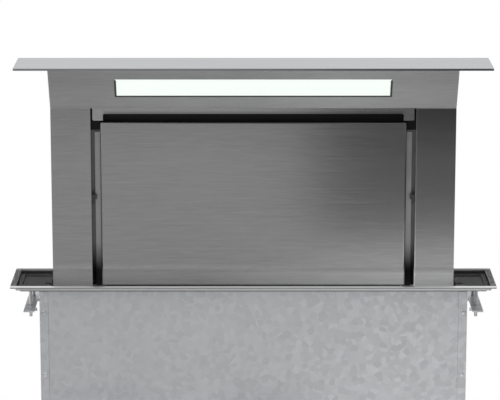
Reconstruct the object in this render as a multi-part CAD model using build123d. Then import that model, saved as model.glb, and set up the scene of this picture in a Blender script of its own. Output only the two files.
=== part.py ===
"""Downdraft vent: a motor-raised suction column with a light head, in a stainless shaft below a worktop.

Millimetres. X runs left to right, the front is -Y and Z is up. The origin is on the worktop's surface,
at the centre of the cut-out. The column is modelled raised, as it stands in use.
"""
from build123d import *
from math import atan2, cos, degrees, hypot, pi, radians, sin
import os

# --- sheet, seats and clearances ---------------------------------------------------------------
STEEL = 1.5            # stainless sheet of the column, the tray and the shaft
SKIN = 1.2             # thinner sheet: suction panel, covers and control box
SEAT = 0.3             # gap between a moving piece and what it rests on or slides along
RUNNING = 0.05         # radial play of a shaft in its bearing

# --- top plate and head ------------------------------------------------------------------------
PLATE_OVER = 62.0      # top plate beyond the column, left and right
PLATE_D = 118.0        # top plate, front to back
PLATE_T = 4.0
PLATE_CORNER = 2.0
HEAD_H = 81.0          # height of the leaning light head
HEAD_REACH = 53.0      # how far the head leans forward of the column
LAMP_W = 509.0         # lamp window in the leaning face
LAMP_H = 44.0
LAMP_DROP = 24.0       # window's top edge below the head's top edge, along the slope
LAMP_LIP = 4.0         # diffuser's flange behind the sheet
LAMP_TRAY_DEPTH = 14.0
LED_W, LED_END = 12.0, 10.0     # light strip in the lamp tray

# --- column ------------------------------------------------------------------------------------
COLUMN_W = 751.0
COLUMN_FRONT = 3.5     # y of the pillars' faces
COLUMN_BACK = 50.0     # y of the back sheet
COLUMN_TOP = 325.0     # z where the head starts, raised
LEG_LENGTH = 260.0     # pillars below the worktop's surface, raised
PILLAR_W = 74.0
PILLAR_LIP = 12.0      # folded lips at the pillar's back
APRON_DROP = 120.0     # sill apron and back sheet end this far below the worktop, raised
BRACE_DROP = 28.0      # height of the brace's front web

# --- suction panel, sill and filters -----------------------------------------------------------
PANEL_SIDE_GAP = 17.5  # suction slot beside the panel
PANEL_TOP_GAP = 27.0   # suction slot above the panel
PANEL_BOTTOM = -13.0   # z of the panel's lower edge
PANEL_DEPTH = 12.0     # depth of the folded edges
PANEL_EDGE_R = 3.0
SILL_Z = -17.5         # z of the sill's top
BAFFLE_T = 2.0
BAFFLE_BACK = 4.5      # baffle's face behind the pillars' faces
BAFFLE_TOP = 11.5      # margin left above the slot
BAFFLE_END = 19.5      # margin left at each end of the slot
BAFFLE_DROP = 24.0     # height of the end margins
BAFFLE_SIDE = 3.5      # play to the pillars
FILTER_FRONT = 14.0    # filter frame's face behind the pillars' faces
FILTER_DEPTH = 10.5
FILTER_INSET = 6.5     # filter frame inside the recess, each side
FILTER_RIM = 12.0      # width of the frame's rim
FILTER_TOP_DROP = 47.0 # filter frame's top below the head
FILTER_STOP = 4.0      # lip behind the filters' edges
FILTER_PLAY = 0.5
CORE_T = 5.0           # filter's mesh pack
HINGE_BACK = 6.0       # panel's pivot behind the pillars' faces
HINGE_RISE = 6.0       # panel's pivot above its lower edge
HINGE_R = 2.0
EAR_T = 2.0
EAR_IN = 6.0           # ear's outer face inside the panel's edge
EAR_HALF = 3.2
EAR_PLAY = 1.5
CATCH_W, CATCH_D, CATCH_H = 9.5, 8.0, 17.0
CATCH_Z = 151.5

# --- tray in the worktop -----------------------------------------------------------------------
PLATE_GAP = 1.5        # top plate to the tray's wall, lowered
RIM_END = 11.0         # flange at the left and right
RIM_SIDE = 10.5        # flange at the front and back
FRAME_CORNER = 3.0
GASKET_T = 1.0
LEDGE = 8.0            # step that runs under the plate's edge
FLOOR_DROP = 3.7       # tray floor below the step
COLUMN_PLAY = 3.0      # tray cut-out beside the column
BACK_PLAY = 1.0        # tray cut-out behind the column
HEAD_PLAY = 1.5        # tray cut-out in front of the lowered head
NOTCH_W, NOTCH_D = 13.0, 10.0
WELL_PLAY = 1.5        # tray's walls to the worktop's cut-out

# --- shaft below the worktop -------------------------------------------------------------------
SHAFT_DEPTH = 690.0
SHAFT_SIDE = 20.0      # column's side to the shaft's side
SHAFT_WALL = 1.0       # tray cut-out's edge to the shaft's front and back
SIDE_FLANGE = 16.0     # folds of the side panels over the front and back
RAIL_W, RAIL_T = 16.0, 12.0
RAIL_GROOVE, RAIL_GROOVE_W = 2.0, 3.6
RAIL_TOP = 40.0        # rail's top below the worktop
SHOE_GAP = 2.0         # shoe to the shaft's side
SHOE_W, SHOE_H = 28.0, 40.0
SHOE_TOPS = (70.0, 215.0)   # the shoes' upper ends below the worktop, raised
SWITCH_W, SWITCH_D, SWITCH_H = 14.0, 9.0, 20.0
LEVER_REACH, LEVER_T, LEVER_INSET = 3.0, 1.0, 3.0
SCREW_HEAD_R, SCREW_HEAD_T = 4.5, 3.0
SIDE_SCREWS = 6        # screws along each fold of the sides
SCREW_END = 40.0       # first and last of them from the shaft's ends
BEAD_IN = 135.5        # ends of the back wall's beads to the shaft's sides
BEAD_W, BEAD_H = 16.0, 2.0
BEADS = 4

# --- lift drive --------------------------------------------------------------------------------
LEAD_SCREW_R = 7.0
JOURNAL_R = 5.0
BEARING_R, BEARING_T = 18.0, 14.0
NUT_H = 18.0
SCREW_ABOVE_NUT = 5.0
PULLEY_TEETH = 20
PULLEY_R = 15.6
TOOTH_DEPTH = 1.6
BELT_PLAY = 0.15
BELT_T = 1.5
BELT_W = 9.0
DECK = 10.0            # height of a pulley deck
DECK_GAP = 1.0
MOTOR_SPACING = 93.5   # lift motor to the left lifting screw
MOTOR_Y = 0.0
MOTOR_R = 28.0
MOTOR_H = 92.0
MOTOR_CAP = 6.0
GEARBOX_W, GEARBOX_H, GEARBOX_CORNER = 62.0, 30.0, 6.0
OUTPUT_R = 4.0
COVER_MARGIN, COVER_CORNER = 14.0, 6.0

# --- blower ------------------------------------------------------------------------------------
WHEEL_R = 108.0
WHEEL_EYE_R = 88.0
WHEEL_W = 80.0
BLADES = 36
BLADE_T = 1.4
BLADE_LEAN = 9.0       # degrees that a blade's tip leads its root
HUB_R = 13.0
HUB_L = 20.0
RING_T, DISC_T = 3.0, 2.0
FAN_SHAFT_R = 4.0
SCROLL_START = 16.0    # wheel to the scroll's tightest point
SCROLL_GROWTH = 14.0   # growth of the scroll in each quarter
SCROLL_W = 110.0
SCROLL_T = 1.5
TONGUE_R = 8.0
OUTLET_DROP = 175.0    # scroll's mouth below the wheel's axis
INLET_R = 90.0
INLET_FLANGE = 14.0
INLET_LENGTH = 14.0
FAN_MOTOR_R, FAN_MOTOR_L = 58.0, 50.0
MOTOR_FOOT_W, MOTOR_FOOT_L, MOTOR_FOOT_T = 16.0, 20.0, 4.0
MOTOR_RIBS, RIB_H, RIB_T = 16, 3.0, 3.0
SCROLL_RIM = 7.0       # scroll plate's edge beyond its wall
BELL_R = 4.0           # inlet ring's bell mouth
DUCT_R = 74.5          # outside of the spigot, for a 150 mm duct
DUCT_T = 2.0
DUCT_CLEAR = 4.0       # spigot to the shaft's front
THROAT_H = 45.0        # rectangular mouth to round spigot
THROAT_CORNER = 8.0    # cut at the mouth's corners
THROAT_PLAY = 1.5      # octagonal end of the throat outside the spigot's bore
SPIGOT_L = 50.0
DAMPER_DROP = 6.0
DAMPER_PIN_R = 1.5
FLAP_T = 1.5
FLAP_PLAY = 1.0
FLAP_EDGE = 3.2        # flap's straight edge to the pin's axis
KNUCKLE_R = 3.0
KNUCKLE_L = 12.0

# --- control box, clamps and brackets ----------------------------------------------------------
BOX_IN = 30.5          # control box to the shaft's left side
BOX_RISE = 90.0        # its middle above the wheel's axis
BOX_W, BOX_H, BOX_D = 160.0, 200.0, 56.0
LID_FOLD = 10.0
GLAND_R, GLAND_BORE_R, GLAND_L = 11.0, 5.0, 16.0
GLAND_WALL, GLAND_NUT = 1.5, 3.0
WORKTOP_T = 40.0       # thickest worktop that the clamps take
CLAMP_W, CLAMP_T, CLAMP_L = 20.0, 3.0, 156.0
CLAMP_OUT, STUD_Y = 18.0, 35.0   # clamp bars beside the shaft, studs from the middle
STUD_R, STUD_BELOW = 3.0, 22.0
CLAMP_NUT_H = 5.0
CLAMP_NUT_R = 6.0
WING_REACH, WING_T, WING_H = 12.0, 2.0, 9.0
BRACKET_W, BRACKET_H, BRACKET_FOOT, BRACKET_T = 70.0, 80.0, 40.0, 2.0
SLOT_L, SLOT_W, SLOT_SPACING = 14.0, 6.6, 40.0

# --- places worked out from the sizes ----------------------------------------------------------
TOP = GASKET_T + STEEL                      # upper face of the tray's flange
PLATE_Z = COLUMN_TOP + HEAD_H               # underside of the top plate
LEDGE_Z = -(PLATE_T + SEAT)
FLOOR_Z = LEDGE_Z - FLOOR_DROP
SHAFT_TOP = FLOOR_Z - STEEL
HEAD_FRONT = COLUMN_FRONT - HEAD_REACH
PLATE_W = COLUMN_W + 2 * PLATE_OVER
WELL_W, WELL_D = PLATE_W + 2 * PLATE_GAP, PLATE_D + 2 * PLATE_GAP
FRAME_W, FRAME_D = WELL_W + 2 * RIM_END, WELL_D + 2 * RIM_SIDE
CUT_X = COLUMN_W / 2 + COLUMN_PLAY
CUT_FRONT, CUT_BACK = HEAD_FRONT - HEAD_PLAY, COLUMN_BACK + BACK_PLAY
SHAFT_X = COLUMN_W / 2 + SHAFT_SIDE
CLAMP_X = SHAFT_X + STEEL + CLAMP_OUT
BEAD_L = 2 * (SHAFT_X - BEAD_IN)
SHAFT_FRONT, SHAFT_BACK = CUT_FRONT - SHAFT_WALL, CUT_BACK + SHAFT_WALL
OUTER_FRONT, OUTER_BACK = SHAFT_FRONT - STEEL, SHAFT_BACK + STEEL
SHAFT_END = -SHAFT_DEPTH
FAN_Z = SHAFT_END + SPIGOT_L + THROAT_H + OUTLET_DROP    # the spigot ends level with the shaft
PILLAR_IN = COLUMN_W / 2 - PILLAR_W         # half the recess between the pillars
BACK_FACE = COLUMN_BACK - STEEL             # pillars end and the back sheet starts here
GUIDE_Y = (COLUMN_FRONT + BACK_FACE) / 2
PANEL_X = PILLAR_IN - PANEL_SIDE_GAP
PANEL_TOP = COLUMN_TOP - PANEL_TOP_GAP
HINGE_Y = COLUMN_FRONT + HINGE_BACK
HINGE_Z = PANEL_BOTTOM + HINGE_RISE
FRAME_X = PILLAR_IN - FILTER_INSET
FRAME_TOP = COLUMN_TOP - FILTER_TOP_DROP
FILTER_Y0 = COLUMN_FRONT + FILTER_FRONT
FILTER_Y1 = FILTER_Y0 + FILTER_DEPTH
LEAD_X = COLUMN_W / 2 - PILLAR_W / 2
MOTOR_X = MOTOR_SPACING - LEAD_X
NUT_Z = -LEG_LENGTH + STEEL
SCREW_TOP = NUT_Z + NUT_H + SCREW_ABOVE_NUT
FLOOR_UNDER = SHAFT_END - STEEL
DECK_A = FLOOR_UNDER - DECK_GAP - DECK      # lower end of the upper deck
DECK_B = DECK_A - DECK_GAP - DECK
COVER_Z = DECK_B - DECK_GAP - SKIN
WHEEL_Y1 = OUTER_FRONT - INLET_LENGTH - DECK_GAP
WHEEL_Y0 = WHEEL_Y1 - WHEEL_W
SCROLL_Y0 = OUTER_FRONT - SCROLL_W
SCROLL_R = WHEEL_R + SCROLL_START
SCROLL_R2, SCROLL_R3 = SCROLL_R + SCROLL_GROWTH, SCROLL_R + 2 * SCROLL_GROWTH
MOUTH_X1 = SCROLL_GROWTH + SCROLL_R3
MOUTH_X0 = MOUTH_X1 - 2 * DUCT_R
MOUTH_Z = FAN_Z - OUTLET_DROP
DUCT_X = (MOUTH_X0 + MOUTH_X1) / 2
DUCT_Y = OUTER_FRONT - DUCT_CLEAR - DUCT_R
SPIGOT_TOP = MOUTH_Z - THROAT_H
SPIGOT_END = SPIGOT_TOP - SPIGOT_L
DAMPER_Z = SPIGOT_TOP - DAMPER_DROP
BOX_X = BOX_IN + BOX_W / 2 - SHAFT_X
BOX_Z = FAN_Z + BOX_RISE


# --- shapes used throughout --------------------------------------------------------------------
def block(x0, x1, y0, y1, z0, z1):
    """A block between two opposite corners."""
    return Pos((x0 + x1) / 2, (y0 + y1) / 2, (z0 + z1) / 2) * Box(abs(x1 - x0), abs(y1 - y0), abs(z1 - z0))


def slab(width, depth, z0, z1, corner=0.0):
    """A plate centred on the Z axis, with rounded corners if asked."""
    outline = RectangleRounded(width, depth, corner) if corner else Rectangle(width, depth)
    return extrude(Pos(0, 0, z0) * outline, z1 - z0)


def rod(x, y, z0, z1, radius):
    """An upright cylinder."""
    return Pos(x, y, (z0 + z1) / 2) * Cylinder(radius, abs(z1 - z0))


def rod_y(x, z, y0, y1, radius):
    """A cylinder along Y."""
    return Pos(x, (y0 + y1) / 2, z) * Rot(90, 0, 0) * Cylinder(radius, abs(y1 - y0))


def rod_x(y, z, x0, x1, radius):
    """A cylinder along X."""
    return Pos((x0 + x1) / 2, y, z) * Rot(0, 90, 0) * Cylinder(radius, abs(x1 - x0))


def along_x(outline, x0, x1):
    """A sketch drawn in (y, z), extruded from x0 to x1."""
    return Pos(x0, 0, 0) * extrude(Plane.YZ * outline, x1 - x0, dir=(1, 0, 0))


def along_y(outline, y0, y1):
    """A sketch drawn in (x, z), extruded from y0 to y1."""
    return Pos(0, y0, 0) * extrude(Plane.XZ * outline, y1 - y0, dir=(0, 1, 0))


def mirrored(shape):
    """The same piece on the other side of the vent."""
    return mirror(shape, about=Plane.YZ)


def pair(shape):
    """A piece and its mirror image, as two separate solids."""
    return Compound(children=[shape, mirrored(shape)])


# --- tray in the worktop -----------------------------------------------------------------------
def worktop_frame():
    """The flush tray: flange, wall, step and floor, pressed from one sheet."""
    floor_w, floor_d = WELL_W - 2 * LEDGE, WELL_D - 2 * LEDGE
    tray = slab(FRAME_W, FRAME_D, GASKET_T, TOP, FRAME_CORNER)
    tray += slab(WELL_W + 2 * STEEL, WELL_D + 2 * STEEL, LEDGE_Z - STEEL, TOP, FRAME_CORNER)
    tray += slab(floor_w + 2 * STEEL, floor_d + 2 * STEEL, SHAFT_TOP, TOP)
    tray -= slab(WELL_W, WELL_D, LEDGE_Z, TOP)
    tray -= slab(floor_w, floor_d, FLOOR_Z, TOP)
    tray -= block(-CUT_X, CUT_X, CUT_FRONT, CUT_BACK, SHAFT_TOP, FLOOR_Z)
    notch = CUT_X + NOTCH_W
    return tray - block(-notch, notch, -NOTCH_D / 2, NOTCH_D / 2, SHAFT_TOP, FLOOR_Z)


def frame_gasket():
    """Foam seal between the flange and the worktop."""
    cut_w = WELL_W + 2 * (STEEL + WELL_PLAY)
    cut_d = WELL_D + 2 * (STEEL + WELL_PLAY)
    return slab(FRAME_W, FRAME_D, 0, GASKET_T, FRAME_CORNER) - slab(cut_w, cut_d, 0, GASKET_T)


def worktop_clamps():
    """Two bars that pull up against the underside of the worktop."""
    top = -WORKTOP_T
    bar = block(CLAMP_X - CLAMP_W / 2, CLAMP_X + CLAMP_W / 2, -CLAMP_L / 2, CLAMP_L / 2, top - CLAMP_T, top)
    for y in (-STUD_Y, STUD_Y):
        bar -= rod(CLAMP_X, y, top - CLAMP_T, top, STUD_R + SEAT)
    return pair(bar)


def clamp_studs():
    """Studs welded under the tray's ends."""
    low = -WORKTOP_T - STUD_BELOW
    studs = [rod(x, y, low, SHAFT_TOP, STUD_R) for x in (-CLAMP_X, CLAMP_X) for y in (-STUD_Y, STUD_Y)]
    return Compound(children=studs)


def clamp_nuts():
    """Wing nuts under the clamp bars."""
    top = -WORKTOP_T - CLAMP_T
    low = top - CLAMP_NUT_H
    nuts = []
    for x in (-CLAMP_X, CLAMP_X):
        for y in (-STUD_Y, STUD_Y):
            nut = extrude(Pos(x, y, low) * RegularPolygon(CLAMP_NUT_R, 6), CLAMP_NUT_H)
            nut += block(x - WING_REACH, x + WING_REACH, y - WING_T / 2, y + WING_T / 2,
                         top - WING_H, low + WING_T)
            nuts.append(nut - rod(x, y, top - WING_H, top, STUD_R))
    return Compound(children=nuts)


# --- shaft -------------------------------------------------------------------------------------
def bead(z):
    """A bead pressed outwards in the back wall at height z: what it adds and what it takes away inside."""
    outline = Pos(0, z) * chamfer(Rectangle(BEAD_L, BEAD_W).vertices(), BEAD_W / 3)
    inner = offset(outline, -STEEL, kind=Kind.INTERSECTION)
    proud = along_y(outline, OUTER_BACK, OUTER_BACK + BEAD_H)
    hollow = along_y(inner, SHAFT_BACK, SHAFT_BACK + BEAD_H)
    return proud, hollow


def housing_back():
    """Back wall of the shaft, stiffened by pressed beads."""
    wall = block(-SHAFT_X, SHAFT_X, SHAFT_BACK, OUTER_BACK, SHAFT_END, SHAFT_TOP)
    pitch = SHAFT_DEPTH / (BEADS + 1)
    for n in range(1, BEADS + 1):
        proud, hollow = bead(SHAFT_END + n * pitch)
        wall = wall + proud - hollow
    return wall


def housing_front():
    """Front wall of the shaft, with the blower's inlet hole."""
    wall = block(-SHAFT_X, SHAFT_X, OUTER_FRONT, SHAFT_FRONT, SHAFT_END, SHAFT_TOP)
    return wall - rod_y(0, FAN_Z, OUTER_FRONT, SHAFT_FRONT, INLET_R + STEEL)


def housing_side():
    """Right side of the shaft: a channel folded over the front and back walls."""
    x0, x1 = SHAFT_X, SHAFT_X + STEEL
    y0, y1 = OUTER_FRONT - STEEL, OUTER_BACK + STEEL
    channel = block(x1 - SIDE_FLANGE, x1, y0, y1, SHAFT_END, SHAFT_TOP)
    return channel - block(x1 - SIDE_FLANGE, x0, OUTER_FRONT, OUTER_BACK, SHAFT_END, SHAFT_TOP)


def housing_floor():
    """Floor of the shaft, with holes for the screws' journals and the gearbox shaft."""
    x1 = SHAFT_X + STEEL
    plate = block(-x1, x1, OUTER_FRONT - STEEL, OUTER_BACK + STEEL, FLOOR_UNDER, SHAFT_END)
    for x in (-LEAD_X, LEAD_X):
        plate -= rod(x, GUIDE_Y, FLOOR_UNDER, SHAFT_END, JOURNAL_R + 1)
    return plate - rod(MOTOR_X, MOTOR_Y, FLOOR_UNDER, SHAFT_END, OUTPUT_R + 1)


def housing_screws():
    """Hexagon-head sheet screws through the side panels' folds, front and back."""
    x = SHAFT_X + STEEL - SIDE_FLANGE / 2
    pitch = (SHAFT_DEPTH + SHAFT_TOP - 2 * SCREW_END) / (SIDE_SCREWS - 1)
    head = Rot(90, 0, 0) * extrude(RegularPolygon(SCREW_HEAD_R, 6), SCREW_HEAD_T)
    heads = []
    for side in (-1, 1):
        for n in range(SIDE_SCREWS):
            z = SHAFT_END + SCREW_END + n * pitch
            heads.append(Pos(side * x, OUTER_FRONT - STEEL, z) * head)
            heads.append(Pos(side * x, OUTER_BACK + STEEL + SCREW_HEAD_T, z) * head)
    return Compound(children=heads)


def guide_rail():
    """Right guide rail: a bar on the shaft's side with a groove along each flank."""
    x0 = SHAFT_X - RAIL_T
    y0, y1 = GUIDE_Y - RAIL_W / 2, GUIDE_Y + RAIL_W / 2
    rail = block(x0, SHAFT_X, y0, y1, SHAFT_END, -RAIL_TOP)
    g0 = x0 + (RAIL_T - RAIL_GROOVE_W) / 2
    for ya, yb in ((y0, y0 + RAIL_GROOVE), (y1 - RAIL_GROOVE, y1)):
        rail -= block(g0, g0 + RAIL_GROOVE_W, ya, yb, SHAFT_END, -RAIL_TOP)
    return rail


def guide_shoe(top):
    """Right plastic shoe: it grips the rail from the column's side."""
    x0, x1 = COLUMN_W / 2, SHAFT_X - SHOE_GAP
    rail_x = SHAFT_X - RAIL_T
    slot = RAIL_W / 2 + SEAT
    shoe = block(x0, x1, GUIDE_Y - SHOE_W / 2, GUIDE_Y + SHOE_W / 2, -top - SHOE_H, -top)
    shoe -= block(rail_x - SEAT, x1, GUIDE_Y - slot, GUIDE_Y + slot, -top - SHOE_H, -top)
    g0 = rail_x + (RAIL_T - RAIL_GROOVE_W) / 2 + SEAT
    for side in (-1, 1):
        inner = GUIDE_Y + side * (RAIL_W / 2 - RAIL_GROOVE + SEAT)
        outer = GUIDE_Y + side * (slot + 1)
        tongue_y = sorted((inner, outer))
        shoe += block(g0, g0 + RAIL_GROOVE_W - 2 * SEAT, *tongue_y, -top - SHOE_H, -top)
    return shoe


def guide_shoes():
    """Four shoes, two on each side of the column."""
    right = [guide_shoe(top) for top in SHOE_TOPS]
    return Compound(children=right + [mirrored(s) for s in right])


def limit_switches():
    """Microswitches on the shaft's right side, beside the shoes' two end positions."""
    x0, y0 = SHAFT_X - SWITCH_W, GUIDE_Y + SHOE_W / 2 + DECK_GAP
    lowest = -SHOE_TOPS[1] - SHOE_H - (PLATE_Z + PLATE_T)
    switches = []
    for z0 in (-SHOE_TOPS[0] - SHOE_H / 2, lowest):
        z1 = z0 + SWITCH_H
        switch = block(x0, SHAFT_X, y0, min(y0 + SWITCH_D, SHAFT_BACK - SEAT), z0, z1)
        lever_y = y0 + SWITCH_D / 4
        switch += block(x0 - LEVER_REACH, x0, lever_y, lever_y + LEVER_T, z0 + LEVER_INSET, z1 - LEVER_INSET)
        switches.append(switch)
    return Compound(children=switches)


def support_bracket():
    """Right foot bracket, with two slotted holes in its foot."""
    x0 = SHAFT_X + STEEL
    low = SHAFT_END
    bracket = block(x0, x0 + BRACKET_T, -BRACKET_W / 2, BRACKET_W / 2, low, low + BRACKET_H)
    bracket += block(x0, x0 + BRACKET_FOOT, -BRACKET_W / 2, BRACKET_W / 2, low, low + BRACKET_T)
    x = x0 + BRACKET_T + (BRACKET_FOOT - BRACKET_T) / 2
    for y in (-SLOT_SPACING / 2, SLOT_SPACING / 2):
        slot = extrude(Pos(x, y, low) * SlotOverall(SLOT_L, SLOT_W, rotation=90), BRACKET_T)
        bracket -= slot
    return bracket


# --- lift drive --------------------------------------------------------------------------------
def lead_screw():
    """Right lifting screw, with the journal that runs through its bearing and pulley."""
    bearing_top = SHAFT_END + BEARING_T
    screw = rod(LEAD_X, GUIDE_Y, bearing_top + SEAT, SCREW_TOP, LEAD_SCREW_R)
    screw = chamfer(screw.edges().sort_by(Axis.Z)[-1], 1)
    return screw + rod(LEAD_X, GUIDE_Y, DECK_B, bearing_top + SEAT, JOURNAL_R)


def screw_bearings():
    """Bearings on the shaft's floor: a boss on a square flange with clipped corners."""
    z0, z1 = SHAFT_END, SHAFT_END + BEARING_T
    bearing = rod(LEAD_X, GUIDE_Y, z0, z1, BEARING_R * 0.7)
    flange = chamfer(Rectangle(2 * BEARING_R, 2 * BEARING_R).vertices(), BEARING_R / 3)
    bearing += extrude(Pos(LEAD_X, GUIDE_Y, z0) * flange, BEARING_T / 3)
    return pair(bearing - rod(LEAD_X, GUIDE_Y, z0, z1, JOURNAL_R + RUNNING))


def toothed_pulley(x, y, z0, z1, bore):
    """A timing pulley with square-cut teeth and its bore."""
    pulley = rod(x, y, z0, z1, PULLEY_R)
    gap = pi * PULLEY_R / PULLEY_TEETH
    root = PULLEY_R - TOOTH_DEPTH / 2
    cutter = Rectangle(TOOTH_DEPTH, gap)
    grooves = [loc * cutter for loc in PolarLocations(root + TOOTH_DEPTH / 4, PULLEY_TEETH)]
    pulley -= extrude(Pos(x, y, z0) * Sketch(children=grooves), z1 - z0)
    return pulley - rod(x, y, z0, z1, bore)


def screw_pulley_left():
    """Double pulley: one deck for the long belt and one for the motor's."""
    return toothed_pulley(-LEAD_X, GUIDE_Y, DECK_B, DECK_A + DECK, JOURNAL_R)


def screw_pulley_right():
    """Single pulley on the long belt's deck."""
    return toothed_pulley(LEAD_X, GUIDE_Y, DECK_A, DECK_A + DECK, JOURNAL_R)


def motor_pulley():
    """Pulley on the gearbox's output shaft."""
    shaft_top = SHAFT_END + GEARBOX_H / 2
    pulley = toothed_pulley(MOTOR_X, MOTOR_Y, DECK_B, DECK_B + DECK, OUTPUT_R)
    return pulley + rod(MOTOR_X, MOTOR_Y, DECK_B, shaft_top, OUTPUT_R)


def belt(start, end, z0):
    """A closed belt round two equal pulleys, its inside just clear of their teeth."""
    length = hypot(end[0] - start[0], end[1] - start[1])
    angle = degrees(atan2(end[1] - start[1], end[0] - start[0]))
    inner = PULLEY_R + BELT_PLAY
    middle = ((start[0] + end[0]) / 2, (start[1] + end[1]) / 2)
    loop = SlotCenterToCenter(length, 2 * (inner + BELT_T)) - SlotCenterToCenter(length, 2 * inner)
    z = z0 + (DECK - BELT_W) / 2
    return extrude(Pos(middle[0], middle[1], z) * Rot(0, 0, angle) * loop, BELT_W)


def lift_gearbox():
    """Gearbox on the shaft's floor, bored for its output shaft."""
    z0, z1 = SHAFT_END, SHAFT_END + GEARBOX_H
    case = Pos(MOTOR_X, MOTOR_Y, 0) * slab(GEARBOX_W, GEARBOX_W, z0, z1, GEARBOX_CORNER)
    return case - rod(MOTOR_X, MOTOR_Y, z0, z0 + GEARBOX_H / 2 + SEAT, OUTPUT_R + RUNNING)


def lift_motor():
    """Tubular motor standing on the gearbox."""
    z0 = SHAFT_END + GEARBOX_H
    motor = rod(MOTOR_X, MOTOR_Y, z0, z0 + MOTOR_H, MOTOR_R)
    motor = chamfer(motor.edges().sort_by(Axis.Z)[-1], MOTOR_CAP / 2)
    return motor + rod(MOTOR_X, MOTOR_Y, z0 + MOTOR_H, z0 + MOTOR_H + MOTOR_CAP, MOTOR_R / 3)


def drive_cover():
    """Tray under the floor that covers the pulleys and belts."""
    half = LEAD_X + PULLEY_R + COVER_MARGIN
    y0 = MOTOR_Y - PULLEY_R - COVER_MARGIN
    y1 = min(GUIDE_Y + PULLEY_R + COVER_MARGIN, OUTER_BACK)
    tray = block(-half, half, y0, y1, COVER_Z, FLOOR_UNDER)
    tray = chamfer(tray.edges().filter_by(Axis.Z), COVER_CORNER)
    return tray - block(-half + SKIN, half - SKIN, y0 + SKIN, y1 - SKIN, COVER_Z + SKIN, FLOOR_UNDER)


# --- blower ------------------------------------------------------------------------------------
def scroll_outline(grow):
    """The scroll's flow outline in (x, z): three quarter arcs and the mouth, grown outwards by `grow`."""
    r1, r2, r3 = SCROLL_R + grow, SCROLL_R2 + grow, SCROLL_R3 + grow
    step = SCROLL_GROWTH
    x0, x1 = MOUTH_X0 - grow, MOUTH_X1 + grow
    tongue = max(TONGUE_R - grow, 0.5)
    bottom, left = (0, -r1), (-r1, 0)
    top, right = (step, r2), (step + r3, -step)
    corner = (x0 - tongue, -r1)
    mouth = -OUTLET_DROP
    bend = sin(radians(45))
    wall = [
        Line(bottom, corner) if corner[0] > 0.01 else None,
        ThreePointArc(corner, (x0 - tongue * (1 - bend), -r1 - tongue * (1 - bend)), (x0, -r1 - tongue)),
        Line((x0, -r1 - tongue), (x0, mouth)),
        Line((x0, mouth), (x1, mouth)),
        Line((x1, mouth), right),
        ThreePointArc(right, (step + r3 * bend, -step + r3 * bend), top),
        ThreePointArc(top, (step - r2 * bend, r2 * bend), left),
        ThreePointArc(left, (-r1 * bend, -r1 * bend), bottom),
    ]
    return make_face([edge for edge in wall if edge is not None])


def blower_scroll():
    """The scroll's wall, open at its mouth and against the shaft's front."""
    band = along_y(Pos(0, FAN_Z) * scroll_outline(SCROLL_T), SCROLL_Y0, OUTER_FRONT)
    band -= along_y(Pos(0, FAN_Z) * scroll_outline(0), SCROLL_Y0, OUTER_FRONT)
    mouth = block(MOUTH_X0, MOUTH_X1, SCROLL_Y0, OUTER_FRONT, MOUTH_Z - 1, MOUTH_Z + 1)
    return band - mouth


def scroll_front_plate():
    """Front wall of the scroll, with a rim to screw it down and the motor's hole."""
    plate = along_y(Pos(0, FAN_Z) * scroll_outline(SCROLL_T + SCROLL_RIM), SCROLL_Y0 - STEEL, SCROLL_Y0)
    plate -= block(-WHEEL_R, MOUTH_X1 + WHEEL_R, SCROLL_Y0 - STEEL, SCROLL_Y0, MOUTH_Z - WHEEL_R, MOUTH_Z)
    return plate - rod_y(0, FAN_Z, SCROLL_Y0 - STEEL, SCROLL_Y0, HUB_R)


def blower_inlet_ring():
    """Bell-mouthed ring that leads the air from the shaft into the wheel."""
    back, front = SHAFT_FRONT, OUTER_FRONT - INLET_LENGTH
    face = back + BELL_R - STEEL
    outline = Polygon(
        (INLET_R + INLET_FLANGE, back), (INLET_R + STEEL, back), (INLET_R + STEEL, front), (INLET_R, front),
        (INLET_R, back - STEEL), (INLET_R + BELL_R, face), (INLET_R + INLET_FLANGE, face), align=None)
    return Pos(0, 0, FAN_Z) * revolve(outline, Axis.Y)


def wheel_blade():
    """One forward-curved blade, in (x, z) about the wheel's axis: bent from flat strips."""
    thick = BLADE_T / WHEEL_R
    root_r, tip_r = WHEEL_EYE_R + BLADE_T, WHEEL_R - BLADE_T
    stations = [(root_r, 0.0), ((root_r + tip_r) / 2, 0.22), (tip_r, 1.0)]

    def face_of_blade(offset):
        """Points along one face of the blade, moved round the wheel by an angle."""
        turns = [(r, radians(BLADE_LEAN) * share + offset) for r, share in stations]
        return [(r * sin(turn), r * cos(turn)) for r, turn in turns]

    return Polygon(*face_of_blade(0), *reversed(face_of_blade(thick)), align=None)


def impeller():
    """Forward-curved wheel: blades between a ring and a hub plate."""
    blade = along_y(wheel_blade(), WHEEL_Y0 + DISC_T, WHEEL_Y1 - RING_T)
    ring = rod_y(0, 0, WHEEL_Y1 - RING_T, WHEEL_Y1, WHEEL_R)
    ring -= rod_y(0, 0, WHEEL_Y1 - RING_T, WHEEL_Y1, WHEEL_EYE_R)
    disc = rod_y(0, 0, WHEEL_Y0, WHEEL_Y0 + DISC_T, WHEEL_R)
    hub = rod_y(0, 0, WHEEL_Y0, WHEEL_Y0 + HUB_L, HUB_R)
    blades = [Rot(0, n * 360 / BLADES, 0) * blade for n in range(BLADES)]
    wheel = disc.fuse(hub, ring, *blades)
    return Pos(0, 0, FAN_Z) * (wheel - rod_y(0, 0, WHEEL_Y0, WHEEL_Y0 + HUB_L, FAN_SHAFT_R))


def fan_shaft():
    """Motor shaft that carries the wheel."""
    return rod_y(0, FAN_Z, SCROLL_Y0 - STEEL - FAN_MOTOR_L / 2, WHEEL_Y0 + HUB_L, FAN_SHAFT_R)


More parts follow.
